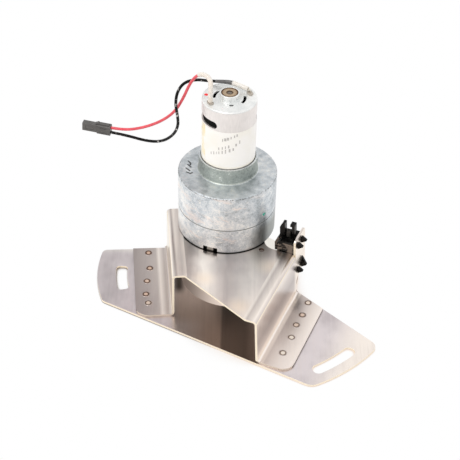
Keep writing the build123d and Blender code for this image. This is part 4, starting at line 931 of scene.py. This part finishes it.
# Inspector's pen ticks on the gearbox's top face: bent strokes by points in millimetres from its axis
ticks = {
    "strokes": [[(-27.6, -5.2), (-24.4, -6.9), (-23.7, -9.0)], [(-25.9, -8.8), (-21.8, -10.6)],
                [(-24.9, -12.8), (-20.6, -14.3)], [(-22.4, -16.6), (-18.9, -16.7), (-18.2, -14.9)]],
    "width": 1.1, "startShare": 0.7, "lift": 0.012, "skin": 0.03}


def penStrokes():
    shape = bmesh.new()
    for stroke in ticks["strokes"]:
        points = [gearboxAxis + Vector((x * mm, y * mm, collarFoot + ticks["lift"] * mm)) for x, y in stroke]
        rows = []
        for index, point in enumerate(points):
            before, after = points[max(index - 1, 0)], points[min(index + 1, len(points) - 1)]
            across = (after - before).cross(Vector((0, 0, 1))).normalized()
            width = ticks["width"] * mm / 2 * (1.0 if index else ticks["startShare"])
            rows.append((point + across * width, point - across * width))
        for (a, b), (c, d) in zip(rows, rows[1:]):
            shape.faces.new([shape.verts.new(place) for place in (a, b, d, c)])
    bmesh.ops.remove_doubles(shape, verts=shape.verts, dist=0.00001)
    top = bmesh.ops.extrude_face_region(shape, geom=list(shape.faces))
    lifted = [item for item in top["geom"] if isinstance(item, bmesh.types.BMVert)]
    bmesh.ops.translate(shape, verts=lifted, vec=(0, 0, ticks["skin"] * mm))
    return meshFrom("pen_ticks", shape, False)


addPiece("pen_ticks", penStrokes(), "marker_ink")

# Faint unreadable marks on the label: short bars in rows that climb to the right. Each row gives
# its start and end as an angle round the motor and a height
marks = {
    "rows": [((-74.0, 116.6), (-38.0, 121.2)), ((-82.0, 109.4), (-54.0, 112.8)),
             ((-100.0, 104.2), (-46.0, 110.4)), ((-46.0, 113.0), (-38.0, 115.0))],
    "high": (1.9, 3.1), "wide": (0.5, 1.5), "apart": (5.2, 8.4), "skin": 0.02}


def labelMarks():
    shape = bmesh.new()
    skin = marks["skin"] * mm
    for number, ((startAngle, startHeight), (endAngle, endHeight)) in enumerate(marks["rows"]):
        angle, index = startAngle, 0
        while angle < endAngle:
            chance = [abs(noise.noise(Vector((index * 1.7 + k * 9.1, number * 5.1, k)))) for k in range(3)]
            wide, tall, step = (low + (high - low) * min(1, share * 2.2) for (low, high), share in zip(
                (marks["wide"], marks["high"], marks["apart"]), chance))
            level = startHeight + (endHeight - startHeight) * (angle - startAngle) / (endAngle - startAngle)
            middle = radians(angle) * labelRadius
            corners = [(middle + a * wide * mm / 2, (level + b * tall / 2) * mm)
                       for a, b in ((-1, -1), (1, -1), (1, 1), (-1, 1))]
            onRound(shape, motorAxis, labelRadius + skin, corners, skin)
            angle += step
            index += 1
    return meshFrom("label_print", shape, False)


addPiece("label_print", labelMarks(), "print_ink")
print("marks made")


# Floor and light: an all-white tent, dimmer high on the left where the flat sheet looks. The floor is white
# in the open; where the object covers it, painted shade runs from dark to pale across the base's opening,
# darkest at its rear
studio = {
    "floorSize": 6.0, "floorDrop": 0.5, "floorColour": (0.86, 0.80, 0.75), "fill": 0.90,
    "contactReach": 0.09, "contact": (0.36, 0.68), "leastWhite": 0.8,
    "shadeFrom": (-34, -4), "dark": (120, 104, 95), "pale": (247, 228, 214),
    "deep": (58, 45, 38), "deepFrom": (12, 20), "opening": (36.5, 34.5),
    "dimmest": 0.66, "dimSide": (-0.46, -0.24), "dimHeight": (0.25, 0.55)}
softbox = {
    "size": 0.9, "power": 6.0, "colour": (1.0, 0.97, 0.93), "place": (-0.35, -0.55, 1.25),
    "target": (0, 0, 0.05)}


def makeFloor(setup):
    shape = bmesh.new()
    bmesh.ops.create_grid(shape, x_segments=1, y_segments=1, size=setup["floorSize"])
    floor = addObject("floor", meshFrom("floor", shape))
    floor.location.z = -setup["floorDrop"] * mm
    material, shader, place = startMaterial("floor_white")
    tree = material.node_tree
    fillNode(shader, {"Base Color": setup["floorColour"], "Roughness": 0.9})
    openness = addNode(tree, "ShaderNodeAmbientOcclusion", {"Distance": setup["contactReach"]}, samples=16)
    openness = fade(openness.outputs["AO"], *setup["contact"])
    parts = split(place)
    across, back = along(parts, sheet["grainTurn"]), along(parts, sheet["grainTurn"] + 90)
    # painted shade where the object covers the floor: dark to pale across the base's opening, darkest at its
    # rear
    under = mixed(fadeMm(across, *setup["shadeFrom"]), tint(*setup["dark"]), tint(*setup["pale"]))
    hidden = times(fadeMm(back, *setup["deepFrom"]), fadeMm(awayFrom(parts, 0.0, 0.0), *setup["opening"]))
    under = mixed(hidden, under, tint(*setup["deep"]))
    openness = times(openness, minus(1.0, hidden))
    glow = addNode(tree, "ShaderNodeEmission", {"Color": mixed(openness, under, (1.0, 1.0, 1.0))}).outputs[0]
    path = addNode(tree, "ShaderNodeLightPath").outputs
    seen = maths("MAXIMUM", path["Is Camera Ray"],
                 maths("MAXIMUM", path["Is Glossy Ray"], path["Is Transmission Ray"]))
    seen = times(seen, maths("MAXIMUM", openness, setup["leastWhite"]))
    pick = addNode(tree, "ShaderNodeMixShader", {"Fac": seen, 1: shader.outputs[0], 2: glow})
    fillNode(tree.nodes["Material Output"], {"Surface": pick.outputs[0]})
    floor.data.materials.append(material)


def makeSky(setup):
    world = bpy.data.worlds.new("tent")
    bpy.context.scene.world = world
    world.use_nodes = True
    sky = world.node_tree
    x, y, height = split(addNode(sky, "ShaderNodeTexCoord").outputs["Generated"])
    sideways = between(x, setup["dimmest"], 1.0, *setup["dimSide"])
    level = between(height, 0.0, 1.0, *setup["dimHeight"])
    dimmed = plus(times(level, minus(sideways, 1.0)), 1.0)
    path = addNode(sky, "ShaderNodeLightPath").outputs
    mirrored = maths("MAXIMUM", path["Is Glossy Ray"], path["Is Transmission Ray"])
    strength = plus(times(mirrored, minus(dimmed, setup["fill"])), setup["fill"])
    strength = maths("MAXIMUM", strength, path["Is Camera Ray"])
    fillNode(sky.nodes["Background"], {"Strength": strength, "Color": (1, 1, 1)})


def makeLamp(setup):
    lamp = bpy.data.lights.new("softbox", "AREA")
    lamp.shape = "DISK"
    lamp.size = setup["size"]
    lamp.energy = setup["power"]
    lamp.color = setup["colour"]
    lampObject = addObject("softbox", lamp)
    lampObject.location = setup["place"]
    heading = Vector(setup["target"]) - lampObject.location
    lampObject.rotation_euler = heading.to_track_quat("-Z", "Y").to_euler()


makeFloor(studio)
makeSky(studio)
makeLamp(softbox)
print("studio ready")
